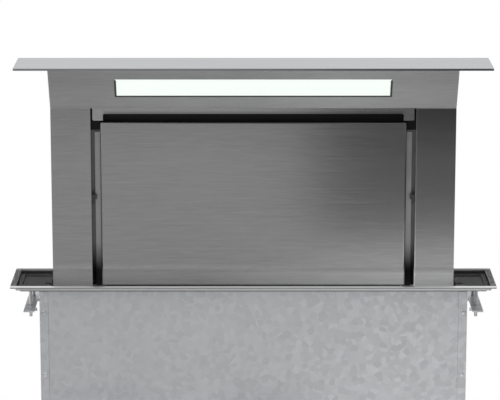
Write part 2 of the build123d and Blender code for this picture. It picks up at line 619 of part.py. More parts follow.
def blower_motor():
    """Blower motor on the scroll's front plate: a ribbed can with four feet."""
    y1 = SCROLL_Y0 - STEEL
    y0 = y1 - FAN_MOTOR_L
    can = rod_y(0, 0, y0, y1, FAN_MOTOR_R)
    can = chamfer(can.edges().sort_by(Axis.Y)[0], 6)
    rib = block(FAN_MOTOR_R - 1, FAN_MOTOR_R + RIB_H, y0 + 8, y1 - MOTOR_FOOT_T - 2, -RIB_T / 2, RIB_T / 2)
    ribs = [Rot(0, n * 360 / MOTOR_RIBS, 0) * rib for n in range(MOTOR_RIBS)]
    foot = Pos(FAN_MOTOR_R + MOTOR_FOOT_L / 3, 0, 0) * block(
        -MOTOR_FOOT_L / 2, MOTOR_FOOT_L / 2, y1 - MOTOR_FOOT_T, y1, -MOTOR_FOOT_W / 2, MOTOR_FOOT_W / 2)
    feet = [Rot(0, turn, 0) * foot for turn in (45, 135, 225, 315)]
    motor = Pos(0, 0, FAN_Z) * can.fuse(*ribs, *feet)
    return motor - rod_y(0, FAN_Z, y1 - FAN_MOTOR_L / 2 - SEAT, y1, FAN_SHAFT_R + RUNNING)


def octagon(x, y, z, half_x, half_y, corner):
    """Corners of a rectangle round (x, y) at height z, its own corners cut off at 45 degrees."""
    a, b = half_x - corner, half_y - corner
    right = [(a, -half_y), (half_x, -b), (half_x, b), (a, half_y)]
    left = [(-u, -v) for u, v in right]
    return [Vector(x + u, y + v, z) for u, v in right + left]


def throat_end(grow, z):
    """The regular octagon round the spigot that the throat ends in."""
    half = DUCT_R - DUCT_T + THROAT_PLAY + grow
    return octagon(DUCT_X, DUCT_Y, z, half, half, half * (2 - 2 ** 0.5))


def throat(grow):
    """The throat's form: a rectangular mouth that its cut corners turn into an octagon, with flat sides."""
    half_x, half_y = DUCT_R - DUCT_T + grow, SCROLL_W / 2 - DUCT_T + grow
    top = octagon(DUCT_X, SCROLL_Y0 + SCROLL_W / 2, MOUTH_Z, half_x, half_y, THROAT_CORNER)
    low = throat_end(grow, SPIGOT_TOP)
    sides = [[top[n - 1], top[n], low[n], low[n - 1]] for n in range(8)]
    return Solid(Shell([Face(Wire.make_polygon(ring, close=True)) for ring in [top, low] + sides]))


def outlet_collar():
    """Throat from the scroll's mouth down to a floor plate with the round duct spigot."""
    collar = throat(DUCT_T) + rod(DUCT_X, DUCT_Y, SPIGOT_END, SPIGOT_TOP, DUCT_R)
    collar += extrude(make_face(Polyline(*throat_end(DUCT_T, SPIGOT_TOP), close=True)), -DUCT_T)
    collar -= throat(0)
    collar -= rod(DUCT_X, DUCT_Y, SPIGOT_END, SPIGOT_TOP, DUCT_R - DUCT_T)
    return collar - rod_y(DUCT_X, DAMPER_Z, DUCT_Y - DUCT_R, DUCT_Y + DUCT_R, DAMPER_PIN_R)


def damper_pin():
    """Pin across the spigot that both flaps hang on."""
    return rod_y(DUCT_X, DAMPER_Z, DUCT_Y - DUCT_R, DUCT_Y + DUCT_R, DAMPER_PIN_R)


def damper_flap(side):
    """Half-round flap (side -1 left, 1 right) with two knuckles on the pin."""
    radius = DUCT_R - DUCT_T - FLAP_PLAY
    flap = rod(0, 0, -FLAP_T / 2, FLAP_T / 2, radius)
    flap -= block(-radius - 1, FLAP_EDGE, -radius - 1, radius + 1, -FLAP_T, FLAP_T)
    reach = radius * 0.45
    for y in (-reach, reach):
        shift = y + side * KNUCKLE_L * 0.6
        y0, y1 = shift - KNUCKLE_L / 2, shift + KNUCKLE_L / 2
        flap += rod_y(0, 0, y0, y1, KNUCKLE_R)
        flap += block(0, FLAP_EDGE + 2, y0, y1, -FLAP_T / 2, FLAP_T / 2)
    flap -= rod_y(0, 0, -radius, radius, DAMPER_PIN_R + RUNNING)
    if side < 0:
        flap = mirrored(flap)
    return Pos(DUCT_X, DUCT_Y, DAMPER_Z) * flap


# --- control box -------------------------------------------------------------------------------
def control_box():
    """Sheet box on the shaft's front, open towards its lid."""
    x0, x1 = BOX_X - BOX_W / 2, BOX_X + BOX_W / 2
    z0, z1 = BOX_Z - BOX_H / 2, BOX_Z + BOX_H / 2
    y0, y1 = OUTER_FRONT - BOX_D, OUTER_FRONT
    box = block(x0, x1, y0, y1, z0, z1)
    box -= block(x0 + SKIN, x1 - SKIN, y0, y1 - SKIN, z0 + SKIN, z1 - SKIN)
    return box - rod(BOX_X, OUTER_FRONT - BOX_D / 2, z0, z0 + SKIN, GLAND_BORE_R + GLAND_WALL)


def control_box_lid():
    """Lid of the control box, folded over its edges."""
    x0, x1 = BOX_X - BOX_W / 2 - SKIN, BOX_X + BOX_W / 2 + SKIN
    z0, z1 = BOX_Z - BOX_H / 2 - SKIN, BOX_Z + BOX_H / 2 + SKIN
    y1 = OUTER_FRONT - BOX_D
    lid = block(x0, x1, y1 - SKIN, y1 + LID_FOLD, z0, z1)
    return lid - block(x0 + SKIN, x1 - SKIN, y1, y1 + LID_FOLD, z0 + SKIN, z1 - SKIN)


def cable_gland():
    """Inlet gland for the mains cable, in the control box's lower wall."""
    z0 = BOX_Z - BOX_H / 2
    y = OUTER_FRONT - BOX_D / 2
    gland = extrude(Pos(BOX_X, y, z0 - GLAND_L / 2) * RegularPolygon(GLAND_R, 6), GLAND_L / 2)
    gland += rod(BOX_X, y, z0 - GLAND_L, z0 - GLAND_L / 2, GLAND_R * 0.8)
    gland += rod(BOX_X, y, z0, z0 + SKIN + GLAND_NUT, GLAND_BORE_R + GLAND_WALL)
    return gland - rod(BOX_X, y, z0 - GLAND_L, z0 + SKIN + GLAND_NUT, GLAND_BORE_R)


# --- column ------------------------------------------------------------------------------------
def top_plate():
    """Plate that closes the tray when the column is down."""
    return slab(PLATE_W, PLATE_D, PLATE_Z, PLATE_Z + PLATE_T, PLATE_CORNER)


def head_outline():
    """Wedge section of the head, in (y, z)."""
    front = (COLUMN_FRONT, COLUMN_TOP), (HEAD_FRONT, PLATE_Z)
    return Polygon(*front, (COLUMN_BACK, PLATE_Z), (COLUMN_BACK, COLUMN_TOP), align=None)


def lamp_plane():
    """Plane on the head's leaning face at the lamp window's centre, its normal pointing out."""
    slope = hypot(HEAD_REACH, HEAD_H)
    down = Vector(0, HEAD_REACH / slope, -HEAD_H / slope)
    centre = Vector(0, HEAD_FRONT, PLATE_Z) + down * (LAMP_DROP + LAMP_H / 2)
    return Plane(origin=centre, x_dir=(1, 0, 0), z_dir=(0, down.Z, -down.Y))


def on_lamp(width, height, behind, ahead):
    """A block on the lamp's plane, from `behind` to `ahead` of the leaning face."""
    return lamp_plane() * Pos(0, 0, (ahead - behind) / 2) * Box(width, height, ahead + behind)


def head_shell():
    """Folded head: leaning face with the lamp window, back, underside and ends."""
    half = COLUMN_W / 2
    shell = along_x(head_outline(), -half, half)
    inside = offset(head_outline(), -STEEL, kind=Kind.INTERSECTION)
    shell -= along_x(inside, -half + STEEL, half - STEEL)
    return shell - on_lamp(LAMP_W, LAMP_H, 2 * STEEL, STEEL)


def lamp_diffuser():
    """Opal strip in the window, with a flange behind the sheet."""
    strip = on_lamp(LAMP_W - 2 * SEAT, LAMP_H - 2 * SEAT, STEEL, -SEAT)
    return strip + on_lamp(LAMP_W + 2 * LAMP_LIP, LAMP_H + 2 * LAMP_LIP, 2 * STEEL, -STEEL)


def lamp_tray():
    """Tray behind the diffuser that carries the light strip."""
    width, height = LAMP_W + 2 * LAMP_LIP, LAMP_H + 2 * LAMP_LIP
    tray = on_lamp(width, height, 2 * STEEL + LAMP_TRAY_DEPTH, -2 * STEEL)
    tray -= on_lamp(width - 2 * SKIN, height - 2 * SKIN, 2 * STEEL + LAMP_TRAY_DEPTH - SKIN, -2 * STEEL)
    return tray + on_lamp(LAMP_W - 2 * LED_END, LED_W, 2 * STEEL + LAMP_TRAY_DEPTH - SKIN, -LAMP_TRAY_DEPTH)


def pillar():
    """Right pillar: a folded channel, hollow for the lifting screw and open at the back between its lips."""
    x0, x1 = PILLAR_IN, COLUMN_W / 2
    z0, z1 = -LEG_LENGTH, COLUMN_TOP
    tube = block(x0, x1, COLUMN_FRONT, BACK_FACE, z0, z1)
    tube -= block(x0 + STEEL, x1 - STEEL, COLUMN_FRONT + STEEL, BACK_FACE - STEEL, z0, z1)
    return tube - block(x0 + PILLAR_LIP, x1 - PILLAR_LIP, BACK_FACE - STEEL, BACK_FACE, z0, z1)


def column_back():
    """Back sheet of the column."""
    half = COLUMN_W / 2
    return block(-half, half, BACK_FACE, COLUMN_BACK, -APRON_DROP, COLUMN_TOP)


def lower_front():
    """Sill under the panel, with the apron below it and the ears of the panel's hinge."""
    y0 = COLUMN_FRONT
    sill = block(-PILLAR_IN, PILLAR_IN, y0, FILTER_Y1 + STEEL, SILL_Z - STEEL, SILL_Z)
    sill += block(-PILLAR_IN, PILLAR_IN, y0 + STEEL, y0 + 2 * STEEL, -APRON_DROP, SILL_Z)
    x1 = PANEL_X - EAR_IN
    for side in (-1, 1):
        ear = block(side * (x1 - EAR_T), side * x1, HINGE_Y - EAR_HALF, HINGE_Y + EAR_HALF, SILL_Z, HINGE_Z)
        ear += rod_x(HINGE_Y, HINGE_Z, side * (x1 - EAR_T), side * x1, EAR_HALF)
        sill += ear - rod_x(HINGE_Y, HINGE_Z, side * (x1 - EAR_T), side * x1, HINGE_R + RUNNING)
    return sill


def column_brace():
    """Angle between the pillars below the apron."""
    y0 = COLUMN_FRONT + STEEL
    low = -APRON_DROP - BRACE_DROP
    brace = block(-PILLAR_IN, PILLAR_IN, y0, y0 + STEEL, low, -APRON_DROP)
    return brace + block(-PILLAR_IN, PILLAR_IN, y0, FILTER_Y1, low, low + STEEL)


def lead_nuts():
    """Lifting nuts that fill the pillars' lower ends."""
    x0, x1 = PILLAR_IN + STEEL, COLUMN_W / 2 - STEEL
    nut = block(x0, x1, COLUMN_FRONT + STEEL, BACK_FACE - STEEL, NUT_Z, NUT_Z + NUT_H)
    return pair(nut - rod(LEAD_X, GUIDE_Y, NUT_Z, NUT_Z + NUT_H, LEAD_SCREW_R + RUNNING))


def intake_baffle():
    """Screen behind the upper slot: a margin above and at both ends."""
    y0 = COLUMN_FRONT + BAFFLE_BACK
    half = PILLAR_IN - BAFFLE_SIDE
    screen = block(-half, half, y0, y0 + BAFFLE_T, COLUMN_TOP - BAFFLE_DROP, COLUMN_TOP)
    screen = fillet(screen.edges().filter_by(Axis.Y).sort_by(Axis.Z)[:2], 3)
    slot = block(-half + BAFFLE_END, half - BAFFLE_END, y0, y0 + BAFFLE_T,
                 COLUMN_TOP - BAFFLE_DROP - 1, COLUMN_TOP - BAFFLE_TOP)
    slot = fillet(slot.edges().filter_by(Axis.Y).sort_by(Axis.Z)[-2:], 3)
    screen -= slot
    return screen + block(-half, half, y0, y0 + 10, COLUMN_TOP - BAFFLE_T, COLUMN_TOP)


def filter_frame():
    """Frame that holds the filters: a rim in front of a full-width flange."""
    z0 = SILL_Z
    rim = block(-FRAME_X, FRAME_X, FILTER_Y0, FILTER_Y1, z0, FRAME_TOP)
    rim += block(-PILLAR_IN, PILLAR_IN, FILTER_Y1, FILTER_Y1 + STEEL, z0, COLUMN_TOP)
    half = FRAME_X - FILTER_RIM
    rim -= block(-half, half, FILTER_Y0, FILTER_Y1, z0 + FILTER_RIM, FRAME_TOP - FILTER_RIM)
    lip = FILTER_RIM + FILTER_STOP
    half = FRAME_X - lip
    return rim - block(-half, half, FILTER_Y1, FILTER_Y1 + STEEL, z0 + lip, FRAME_TOP - lip)


def grease_filter(side):
    """Metal grease filter (side -1 left, 1 right): a channel rim round a mesh pack."""
    half = FRAME_X - FILTER_RIM - FILTER_PLAY
    z0, z1 = SILL_Z + FILTER_RIM + SEAT, FRAME_TOP - FILTER_RIM - FILTER_PLAY
    y0, y1 = FILTER_Y0 + FILTER_PLAY, FILTER_Y1 - SEAT
    x0, x1 = FILTER_PLAY / 2, half
    rim = block(x0, x1, y0, y1, z0, z1)
    rim -= block(x0 + FILTER_RIM, x1 - FILTER_RIM, y0, y1, z0 + FILTER_RIM, z1 - FILTER_RIM)
    middle = (y0 + y1) / 2
    rim += block(x0 + 2, x1 - 2, middle - CORE_T / 2, middle + CORE_T / 2, z0 + 2, z1 - 2)
    return rim if side > 0 else mirrored(rim)


def panel_catches():
    """Sprung catches on the pillars' inner sides, beside the panel."""
    x1 = -PILLAR_IN
    y0 = COLUMN_FRONT + BAFFLE_BACK
    catch = block(x1, x1 + CATCH_W / 2, y0, y0 + CATCH_D, CATCH_Z - CATCH_H / 2, CATCH_Z + CATCH_H / 3)
    nose = block(x1 + CATCH_W / 2, x1 + CATCH_W, y0 + 1, y0 + CATCH_D - 1, CATCH_Z, CATCH_Z + CATCH_H / 2)
    shank = block(x1, x1 + CATCH_W / 2, y0 + 1, y0 + CATCH_D - 1, CATCH_Z, CATCH_Z + CATCH_H / 2)
    return pair(catch + shank + nose)


def suction_panel():
    """The removable front panel: a shallow pan with soft edges, slotted for the hinge's ears."""
    y0, y1 = COLUMN_FRONT, COLUMN_FRONT + PANEL_DEPTH
    pan = block(-PANEL_X, PANEL_X, y0, y1, PANEL_BOTTOM, PANEL_TOP)
    pan = fillet(pan.edges().group_by(Axis.Y)[0], PANEL_EDGE_R)
    inside = block(-PANEL_X + SKIN, PANEL_X - SKIN, y0 + SKIN, y1, PANEL_BOTTOM + SKIN, PANEL_TOP - SKIN)
    pan -= fillet(inside.edges().group_by(Axis.Y)[0], max(PANEL_EDGE_R - SKIN, 0.3))
    x1 = PANEL_X - EAR_IN
    for side in (-1, 1):
        pan -= block(side * (x1 - EAR_T - EAR_PLAY), side * (x1 + EAR_PLAY), y0 + SKIN, y1,
                     PANEL_BOTTOM, PANEL_BOTTOM + PANEL_EDGE_R)
    return pan


def panel_hinge_pins():
    """Two pins on the panel's sides that turn in the sill's ears."""
    return pair(rod_x(HINGE_Y, HINGE_Z, PANEL_X - SKIN - EAR_IN - EAR_T - 4, PANEL_X - SKIN, HINGE_R))


# --- every node --------------------------------------------------------------------------------
def nodes():
    """Each node's name with its shape."""
    left, right = (-LEAD_X, GUIDE_Y), (LEAD_X, GUIDE_Y)
    return {
        "worktop_frame": worktop_frame(),
        "frame_gasket": frame_gasket(),
        "worktop_clamps": worktop_clamps(),
        "clamp_studs": clamp_studs(),
        "clamp_nuts": clamp_nuts(),
        "housing_back": housing_back(),
        "housing_front": housing_front(),
        "housing_side_left": mirrored(housing_side()),
        "housing_side_right": housing_side(),
        "housing_floor": housing_floor(),
        "housing_screws": housing_screws(),
        "guide_rail_left": mirrored(guide_rail()),
        "guide_rail_right": guide_rail(),
        "limit_switches": limit_switches(),
        "support_bracket_left": mirrored(support_bracket()),
        "support_bracket_right": support_bracket(),
        "screw_bearings": screw_bearings(),
        "lift_motor": lift_motor(),
        "lift_gearbox": lift_gearbox(),
        "sync_belt": belt(left, right, DECK_A),
        "motor_belt": belt(left, (MOTOR_X, MOTOR_Y), DECK_B),
        "drive_cover": drive_cover(),
        "blower_scroll": blower_scroll(),
        "scroll_front_plate": scroll_front_plate(),
        "blower_inlet_ring": blower_inlet_ring(),
        "blower_motor": blower_motor(),
        "outlet_collar": outlet_collar(),
        "damper_pin": damper_pin(),
        "control_box": control_box(),
        "control_box_lid": control_box_lid(),
        "cable_gland": cable_gland(),
        "lead_screw_left": mirrored(lead_screw()),
        "lead_screw_right": lead_screw(),
        "screw_pulley_left": screw_pulley_left(),
        "screw_pulley_right": screw_pulley_right(),
        "motor_pulley": motor_pulley(),
        "impeller": impeller(),
        "fan_shaft": fan_shaft(),
        "damper_flap_left": damper_flap(-1),
        "damper_flap_right": damper_flap(1),
        "top_plate": top_plate(),
        "head_shell": head_shell(),
        "lamp_diffuser": lamp_diffuser(),
        "lamp_tray": lamp_tray(),
        "pillar_left": mirrored(pillar()),
        "pillar_right": pillar(),
        "column_back": column_back(),
        "lower_front": lower_front(),
        "column_brace": column_brace(),
        "lead_nuts": lead_nuts(),
        "guide_shoes": guide_shoes(),
        "intake_baffle": intake_baffle(),
        "filter_frame": filter_frame(),
        "grease_filter_left": grease_filter(-1),
        "grease_filter_right": grease_filter(1),
        "panel_catches": panel_catches(),
        "suction_panel": suction_panel(),
        "panel_hinge_pins": panel_hinge_pins(),
    }


os.makedirs("parts", exist_ok=True)
for name, shape in nodes().items():
    export_step(shape, f"parts/{name}.step")
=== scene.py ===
"""Looks of the downdraft vent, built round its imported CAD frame.

Lengths are metres in the frame's axes: X runs left to right, the front is -Y and Z is up.
"""
import logging
import math
from collections.abc import Iterable, Sequence
from dataclasses import dataclass
from enum import Enum
from functools import reduce
from typing import Any

import bmesh
import bpy
from mathutils import Matrix, Vector


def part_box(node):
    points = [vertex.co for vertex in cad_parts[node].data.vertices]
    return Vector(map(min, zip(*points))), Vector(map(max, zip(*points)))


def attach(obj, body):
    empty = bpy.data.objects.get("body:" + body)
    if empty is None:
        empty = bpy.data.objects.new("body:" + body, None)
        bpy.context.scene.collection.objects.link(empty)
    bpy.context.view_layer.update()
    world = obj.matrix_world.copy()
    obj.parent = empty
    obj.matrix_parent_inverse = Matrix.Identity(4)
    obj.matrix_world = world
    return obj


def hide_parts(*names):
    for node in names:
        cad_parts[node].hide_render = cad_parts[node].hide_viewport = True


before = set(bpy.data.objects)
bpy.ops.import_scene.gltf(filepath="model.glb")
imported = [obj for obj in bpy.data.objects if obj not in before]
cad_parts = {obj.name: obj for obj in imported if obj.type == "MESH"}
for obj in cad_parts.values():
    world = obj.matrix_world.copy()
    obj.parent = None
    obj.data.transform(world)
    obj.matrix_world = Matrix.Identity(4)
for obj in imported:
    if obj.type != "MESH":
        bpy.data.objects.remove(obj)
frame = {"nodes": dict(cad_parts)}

Triple = tuple[float, float, float]
Span = tuple[float, float]
Socket = bpy.types.NodeSocket
Mesh = bmesh.types.BMesh
Material = bpy.types.Material

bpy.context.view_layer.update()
LOG = logging.getLogger("vent")
EVEN = (1.0, 1.0, 1.0)  # scale of a noise without a direction
FORWARD = (0.0, -1.0, 0.0)
TOUCHING = 1e-6  # points of a piece nearer than this are one
WELD = 0.00001  # the same, for the loose triangles of a CAD node
SHARP = math.radians(35.0)  # an edge that turns further is crisp, or softened by a bevel


class Grain(Enum):
    """Direction of a sheet's brushing, as the noise's scale along X, Y and Z."""

    ALONG_X = (1.0, 260.0, 260.0)
    ALONG_Y = (260.0, 1.0, 260.0)
    SHORT_X = (24.0, 494.0, 494.0)


class Axis(Enum):
    """An axis of the frame, by its place in a vector."""

    X = 0
    Y = 1
    Z = 2


class Side(Enum):
    """Left or right of the vent, as the sign of X."""

    LEFT = -1
    RIGHT = 1


class Edge(Enum):
    """Width of a part's softened edges, by the way the part is made."""

    PLAIN = 0.0
    PLATED = 0.0003
    THIN = 0.0004
    SMALL = 0.0005
    SHEET = 0.0006
    FOLDED = 0.0007
    PAINTED = 0.0008
    CAST = 0.001


# --- materials ---
class Graph:
    """Adds nodes to an empty node tree and joins them."""

    def __init__(self, tree: bpy.types.NodeTree) -> None:
        """Takes the node tree of a material or a world, and empties it."""
        self.tree = tree
        tree.nodes.clear()

    def add(self, kind: str, inputs: dict[Any, Any] | None = None, **settings: Any) -> bpy.types.Node:
        """Adds a node.

        Args:
            kind: The node's type name.
            inputs: Values or output sockets, by the name or number of the input they go to.
            **settings: The node's own properties.

        Returns:
            The new node.
        """
        node = self.tree.nodes.new(kind)
        for key, value in settings.items():
            setattr(node, key, value)
        for key, value in (inputs or {}).items():
            if isinstance(value, Socket):
                self.tree.links.new(value, node.inputs[key])
            else:
                node.inputs[key].default_value = value
        return node

    def coordinates(self) -> Socket:
        """Gives Object coordinates."""
        return self.add("ShaderNodeTexCoord").outputs["Object"]

    def place(self, scale: Sequence[float]) -> Socket:
        """Gives Object coordinates, scaled along X, Y and Z."""
        return self.add("ShaderNodeMapping", {"Vector": self.coordinates(), "Scale": scale}).outputs[0]

    def noise(self, scale: Sequence[float], size: float = 1.0, detail: float = 2.0) -> Socket:
        """Gives fractal noise about 0.5 over scaled Object coordinates."""
        inputs = {"Vector": self.place(scale), "Scale": size, "Detail": detail}
        return self.add("ShaderNodeTexNoise", inputs).outputs[0]

    def along(self, axis: Axis, mirrored: bool = False) -> Socket:
        """Gives the Object coordinate along an axis, without its sign if mirrored."""
        value = self.add("ShaderNodeSeparateXYZ", {0: self.coordinates()}).outputs[axis.value]
        return self.math("ABSOLUTE", value) if mirrored else value

    def spread(self, value: Socket, low: float, high: float, start: float = 0.25, end: float = 0.75,
               **settings: Any) -> Socket:
        """Maps a value that runs from start to end onto low to high, clamped."""
        inputs = {"Value": value, "From Min": start, "From Max": end, "To Min": low, "To Max": high}
        return self.add("ShaderNodeMapRange", inputs, **settings).outputs[0]

    def sway(self, noise: Socket, amount: float, middle: float = 1.0) -> Socket:
        """Maps a noise onto a middle value, more or less by an amount."""
        return self.spread(noise, middle - amount, middle + amount)

    def math(self, operation: str, a: Any, b: Any = 0.0) -> Socket:
        """Gives the result of a sum on two values or sockets."""
        return self.add("ShaderNodeMath", {0: a, 1: b}, operation=operation).outputs[0]

    def times(self, *factors: Any) -> Socket:
        """Gives the product of values or sockets."""
        return reduce(lambda a, b: self.math("MULTIPLY", a, b), factors)

    def mix(self, share: Socket, a: Any, b: Any) -> Socket:
        """Gives a where the share is 0 and b where it is 1."""
        return self.add("ShaderNodeMix", {0: share, 2: a, 3: b}, data_type="FLOAT").outputs[0]

    def tint(self, colour: Triple, share: Socket) -> Socket:
        """Gives the colour times a share near 1."""
        return self.add("ShaderNodeVectorMath", {0: colour, "Scale": share}, operation="SCALE").outputs[0]

    def bump(self, height: Socket, strength: float, depth: float) -> Socket:
        """Gives a normal disturbed by a height map."""
        inputs = {"Height": height, "Strength": strength, "Distance": depth}
        return self.add("ShaderNodeBump", inputs).outputs[0]

    def surface(self, inputs: dict[str, Any]) -> None:
        """Ends the tree in a Principled surface."""
        shader = self.add("ShaderNodeBsdfPrincipled", inputs)
        self.add("ShaderNodeOutputMaterial", {"Surface": shader.outputs[0]})


@dataclass(frozen=True)
class Zone:
    """A stretch of one piece with painted shade or painted light, darker or paler than the rest where light
    falls unevenly, such as the inside of a fold.

    Its tone runs from `near` before `start` to `far` after `end`, along one axis. Before the start it is less
    of a metal by `satin`, a painted sheen, and `near` grows `lean` times over the stretch of X in `leaning`.
    """

    axis: Axis
    start: float
    end: float
    near: float = 1.0
    far: float = 1.0
    satin: float = 0.0
    mirrored: bool = False
    lean: float = 1.0
    leaning: Span = (-0.1, 0.28)

    def share(self, graph: Graph) -> Socket:
        """Gives the zone's tone.

        Args:
            graph: The graph of the finish.

        Returns:
            The share of the sheet's colour that shows.
        """
        place = graph.along(self.axis, self.mirrored)
        if self.lean == 1.0:
            return graph.spread(place, self.near, self.far, self.start, self.end)
        near = graph.spread(graph.along(Axis.X), self.near, self.near * self.lean, *self.leaning)
        return graph.mix(graph.spread(place, 0.0, 1.0, self.start, self.end), near, self.far)

    def sheen(self, graph: Graph) -> Socket:
        """Gives the metal's share of the surface."""
        return graph.spread(graph.along(self.axis), 1.0 - self.satin, 1.0, self.start, self.end)


@dataclass(frozen=True)
class Finish:
    """A finish with its name and plain colour."""

    name: str
    colour: Triple

    def material(self) -> Material:
        """Makes the material.

        Returns:
            The new material.
        """
        made = bpy.data.materials.new(self.name)
        made.use_nodes = True
        made.diffuse_color = (*self.colour, 1.0)
        self.paint(Graph(made.node_tree))
        return made

    def paint(self, graph: Graph) -> None:
        """Adds the finish's nodes to its empty graph."""
        raise NotImplementedError


@dataclass(frozen=True)
class BrushedSheet(Finish):
    """Stainless sheet, brushed along X.

    Its zones paint shade and light on it; the two `corner` zones paint shade only where both do.
    """

    roughness: float = 0.3
    contrast: float = 0.045
    fineness: float = 9.0
    band: float = 1.6
    dash: float = 0.068
    cloud: float = 3.2
    clouding: float = 0.03
    drift: float = 0.012
    relief: Span = (0.05, 0.0002)
    zones: tuple[Zone, ...] = ()
    corner: tuple[Zone, Zone] | None = None

    def paint(self, graph: Graph) -> None:
        """Adds streaks, bands, short strokes, clouds and the zones' painted shade and light.

        Args:
            graph: The material's empty graph.
        """
        fine = graph.noise(Grain.ALONG_X.value, self.fineness)
        bands = graph.noise(Grain.ALONG_X.value, self.band, detail=3.0)
        strokes = graph.noise(Grain.SHORT_X.value)
        clouds = graph.noise(EVEN, self.cloud, detail=1.0)
        brushing = graph.times(graph.sway(fine, self.contrast), graph.sway(bands, self.contrast / 2))
        marks = graph.times(graph.sway(strokes, self.dash), graph.sway(clouds, self.clouding))
        share = graph.times(brushing, marks, *(zone.share(graph) for zone in self.zones))
        if self.corner:
            share = graph.times(share, graph.math("MAXIMUM", *(zone.share(graph) for zone in self.corner)))
        graph.surface({
            "Base Color": graph.tint(self.colour, share),
            "Metallic": next((zone.sheen(graph) for zone in self.zones if zone.satin), 1.0),
            "Roughness": graph.sway(bands, self.drift, self.roughness),
            "Normal": graph.bump(fine, *self.relief),
        })


@dataclass(frozen=True)
class TraySheet(Finish):
    """Stainless sheet of the tray with painted light and shade: a painted highlight along the front flange,
    painted shade at its ends, on the well's walls and down in the well.

    Away from the front flange its gloss is weak at low angles, set by `graze`, which paints shade on its
    reflections.
    """

    well_x: float
    well_y: float
    seam: float = 0.0002
    flange_z: Span = (0.0, 0.0012)
    wall_top: Span = (-0.0006, -0.0003)
    wall_foot: Span = (-0.0041, -0.0038)
    front: float = 1.2
    well: float = 0.34
    ends: float = 0.5
    back: float = 0.95
    wall: float = 0.12
    graze: float = 0.02
    roughness: Span = (0.33, 0.41)
    fineness: float = 9.0
    contrast: float = 0.07
    relief: Span = (0.12, 0.0002)

    def paint(self, graph: Graph) -> None:
        """Adds the grain, which turns at the mitres, and each face's painted light or shade.

        Args:
            graph: The material's empty graph.
        """
        depth, height = graph.along(Axis.Y), graph.along(Axis.Z)
        end = graph.spread(graph.along(Axis.X, mirrored=True), 0.0, 1.0, self.well_x - self.seam, self.well_x)
        ahead = graph.spread(depth, 1.0, 0.0, -self.well_y - self.seam, -self.well_y)
        rear = graph.spread(depth, 0.0, 1.0, self.well_y, self.well_y + self.seam)
        low = graph.spread(height, 1.0, 0.0, *self.flange_z)
        wall = graph.times(graph.spread(height, 1.0, 0.0, *self.wall_top),
                           graph.spread(height, 0.0, 1.0, *self.wall_foot))
        across = graph.noise(Grain.ALONG_X.value, self.fineness)
        inwards = graph.noise(Grain.ALONG_Y.value, self.fineness)
        grain = graph.mix(end, across, inwards)
        # Painted shade on the ends, back, well and darkest on the well's walls; painted highlight on the
        # front flange.
        flange = graph.mix(rear, graph.mix(end, self.well, self.ends), self.back)
        inside = graph.mix(wall, graph.mix(low, flange, self.well), self.wall)
        share = graph.times(graph.mix(ahead, inside, self.front), graph.sway(grain, self.contrast))
        graph.surface({
            "Base Color": graph.tint(self.colour, share),
            "Metallic": 1.0,
            "Roughness": graph.spread(grain, *self.roughness),
            "Specular Tint": graph.mix(ahead, self.graze, 1.0),
            "Normal": graph.bump(grain, *self.relief),
        })


@dataclass(frozen=True)
class ZincSheet(Finish):
    """Galvanised sheet with a faint spangle."""

    roughness: float = 0.4
    metallic: float = 0.7
    crystal: float = 95.0
    feather: float = 0.004
    contrast: float = 0.11
    fray: float = 150.0
    cloud: float = 6.0
    clouding: float = 0.03
    drift: float = 0.07
    relief: Span = (0.04, 0.0003)

    def paint(self, graph: Graph) -> None:
        """Adds crystals with frayed edges, and clouds.

        Args:
            graph: The material's empty graph.
        """
        place = graph.place(EVEN)
        frayed = graph.add("ShaderNodeTexNoise", {"Vector": place, "Scale": self.fray}).outputs["Color"]
        shift = graph.add("ShaderNodeVectorMath", {0: frayed, "Scale": self.feather}, operation="SCALE")
        spot = graph.add("ShaderNodeVectorMath", {0: place, 1: shift.outputs[0]}, operation="ADD")
        inputs = {"Vector": spot.outputs[0], "Scale": self.crystal}
        crystals = graph.add("ShaderNodeTexVoronoi", inputs).outputs["Color"]
        spangle = graph.spread(crystals, 1 - self.contrast, 1 + self.contrast, 0.0, 1.0)
        clouds = graph.sway(graph.noise(EVEN, self.cloud), self.clouding)
        graph.surface({
            "Base Color": graph.tint(self.colour, graph.times(spangle, clouds)),
            "Metallic": self.metallic,
            "Roughness": graph.spread(crystals, self.roughness + self.drift, self.roughness - self.drift,
                                      0.0, 1.0),
            "Normal": graph.bump(crystals, *self.relief),
        })


@dataclass(frozen=True)
class PlainMetal(Finish):
    """Turned, ground or plated metal with fine marks and faint stains."""

    roughness: float
    grain: float = 900.0
    zones: tuple[Zone, ...] = ()
    marks: Span = (0.94, 1.05)
    stain: float = 22.0
    stains: Span = (0.92, 1.06)
    drift: Span = (-0.05, 0.07)
    relief: Span = (0.06, 0.0002)

    def paint(self, graph: Graph) -> None:
        """Adds marks, stains and the zones.

        Args:
            graph: The material's empty graph.
        """
        marks = graph.noise(EVEN, self.grain)
        stains = graph.noise(EVEN, self.stain, detail=3.0)
        share = graph.times(graph.spread(marks, *self.marks), graph.spread(stains, *self.stains),
                            *(zone.share(graph) for zone in self.zones))
        graph.surface({
            "Base Color": graph.tint(self.colour, share),
            "Metallic": 1.0,
            "Roughness": graph.spread(stains, *(self.roughness + change for change in self.drift)),
            "Normal": graph.bump(marks, *self.relief),
        })


@dataclass(frozen=True)
class Moulded(Finish):
    """Moulded plastic, rubber, foam or satin paint with a fine grain."""

    roughness: float
    grain: float = 1400.0
    relief: Span = (0.2, 0.00015)
    wear: float = 30.0
    wearing: float = 0.12
    drift: float = 0.06

    def paint(self, graph: Graph) -> None:
        """Adds pores and wear.

        Args:
            graph: The material's empty graph.
        """
        pores = graph.noise(EVEN, self.grain, detail=3.0)
        wear = graph.noise(EVEN, self.wear, detail=3.0)
        graph.surface({
            "Base Color": graph.tint(self.colour, graph.sway(wear, self.wearing)),
            "Roughness": graph.sway(wear, self.drift, self.roughness),
            "Normal": graph.bump(pores, *self.relief),
        })


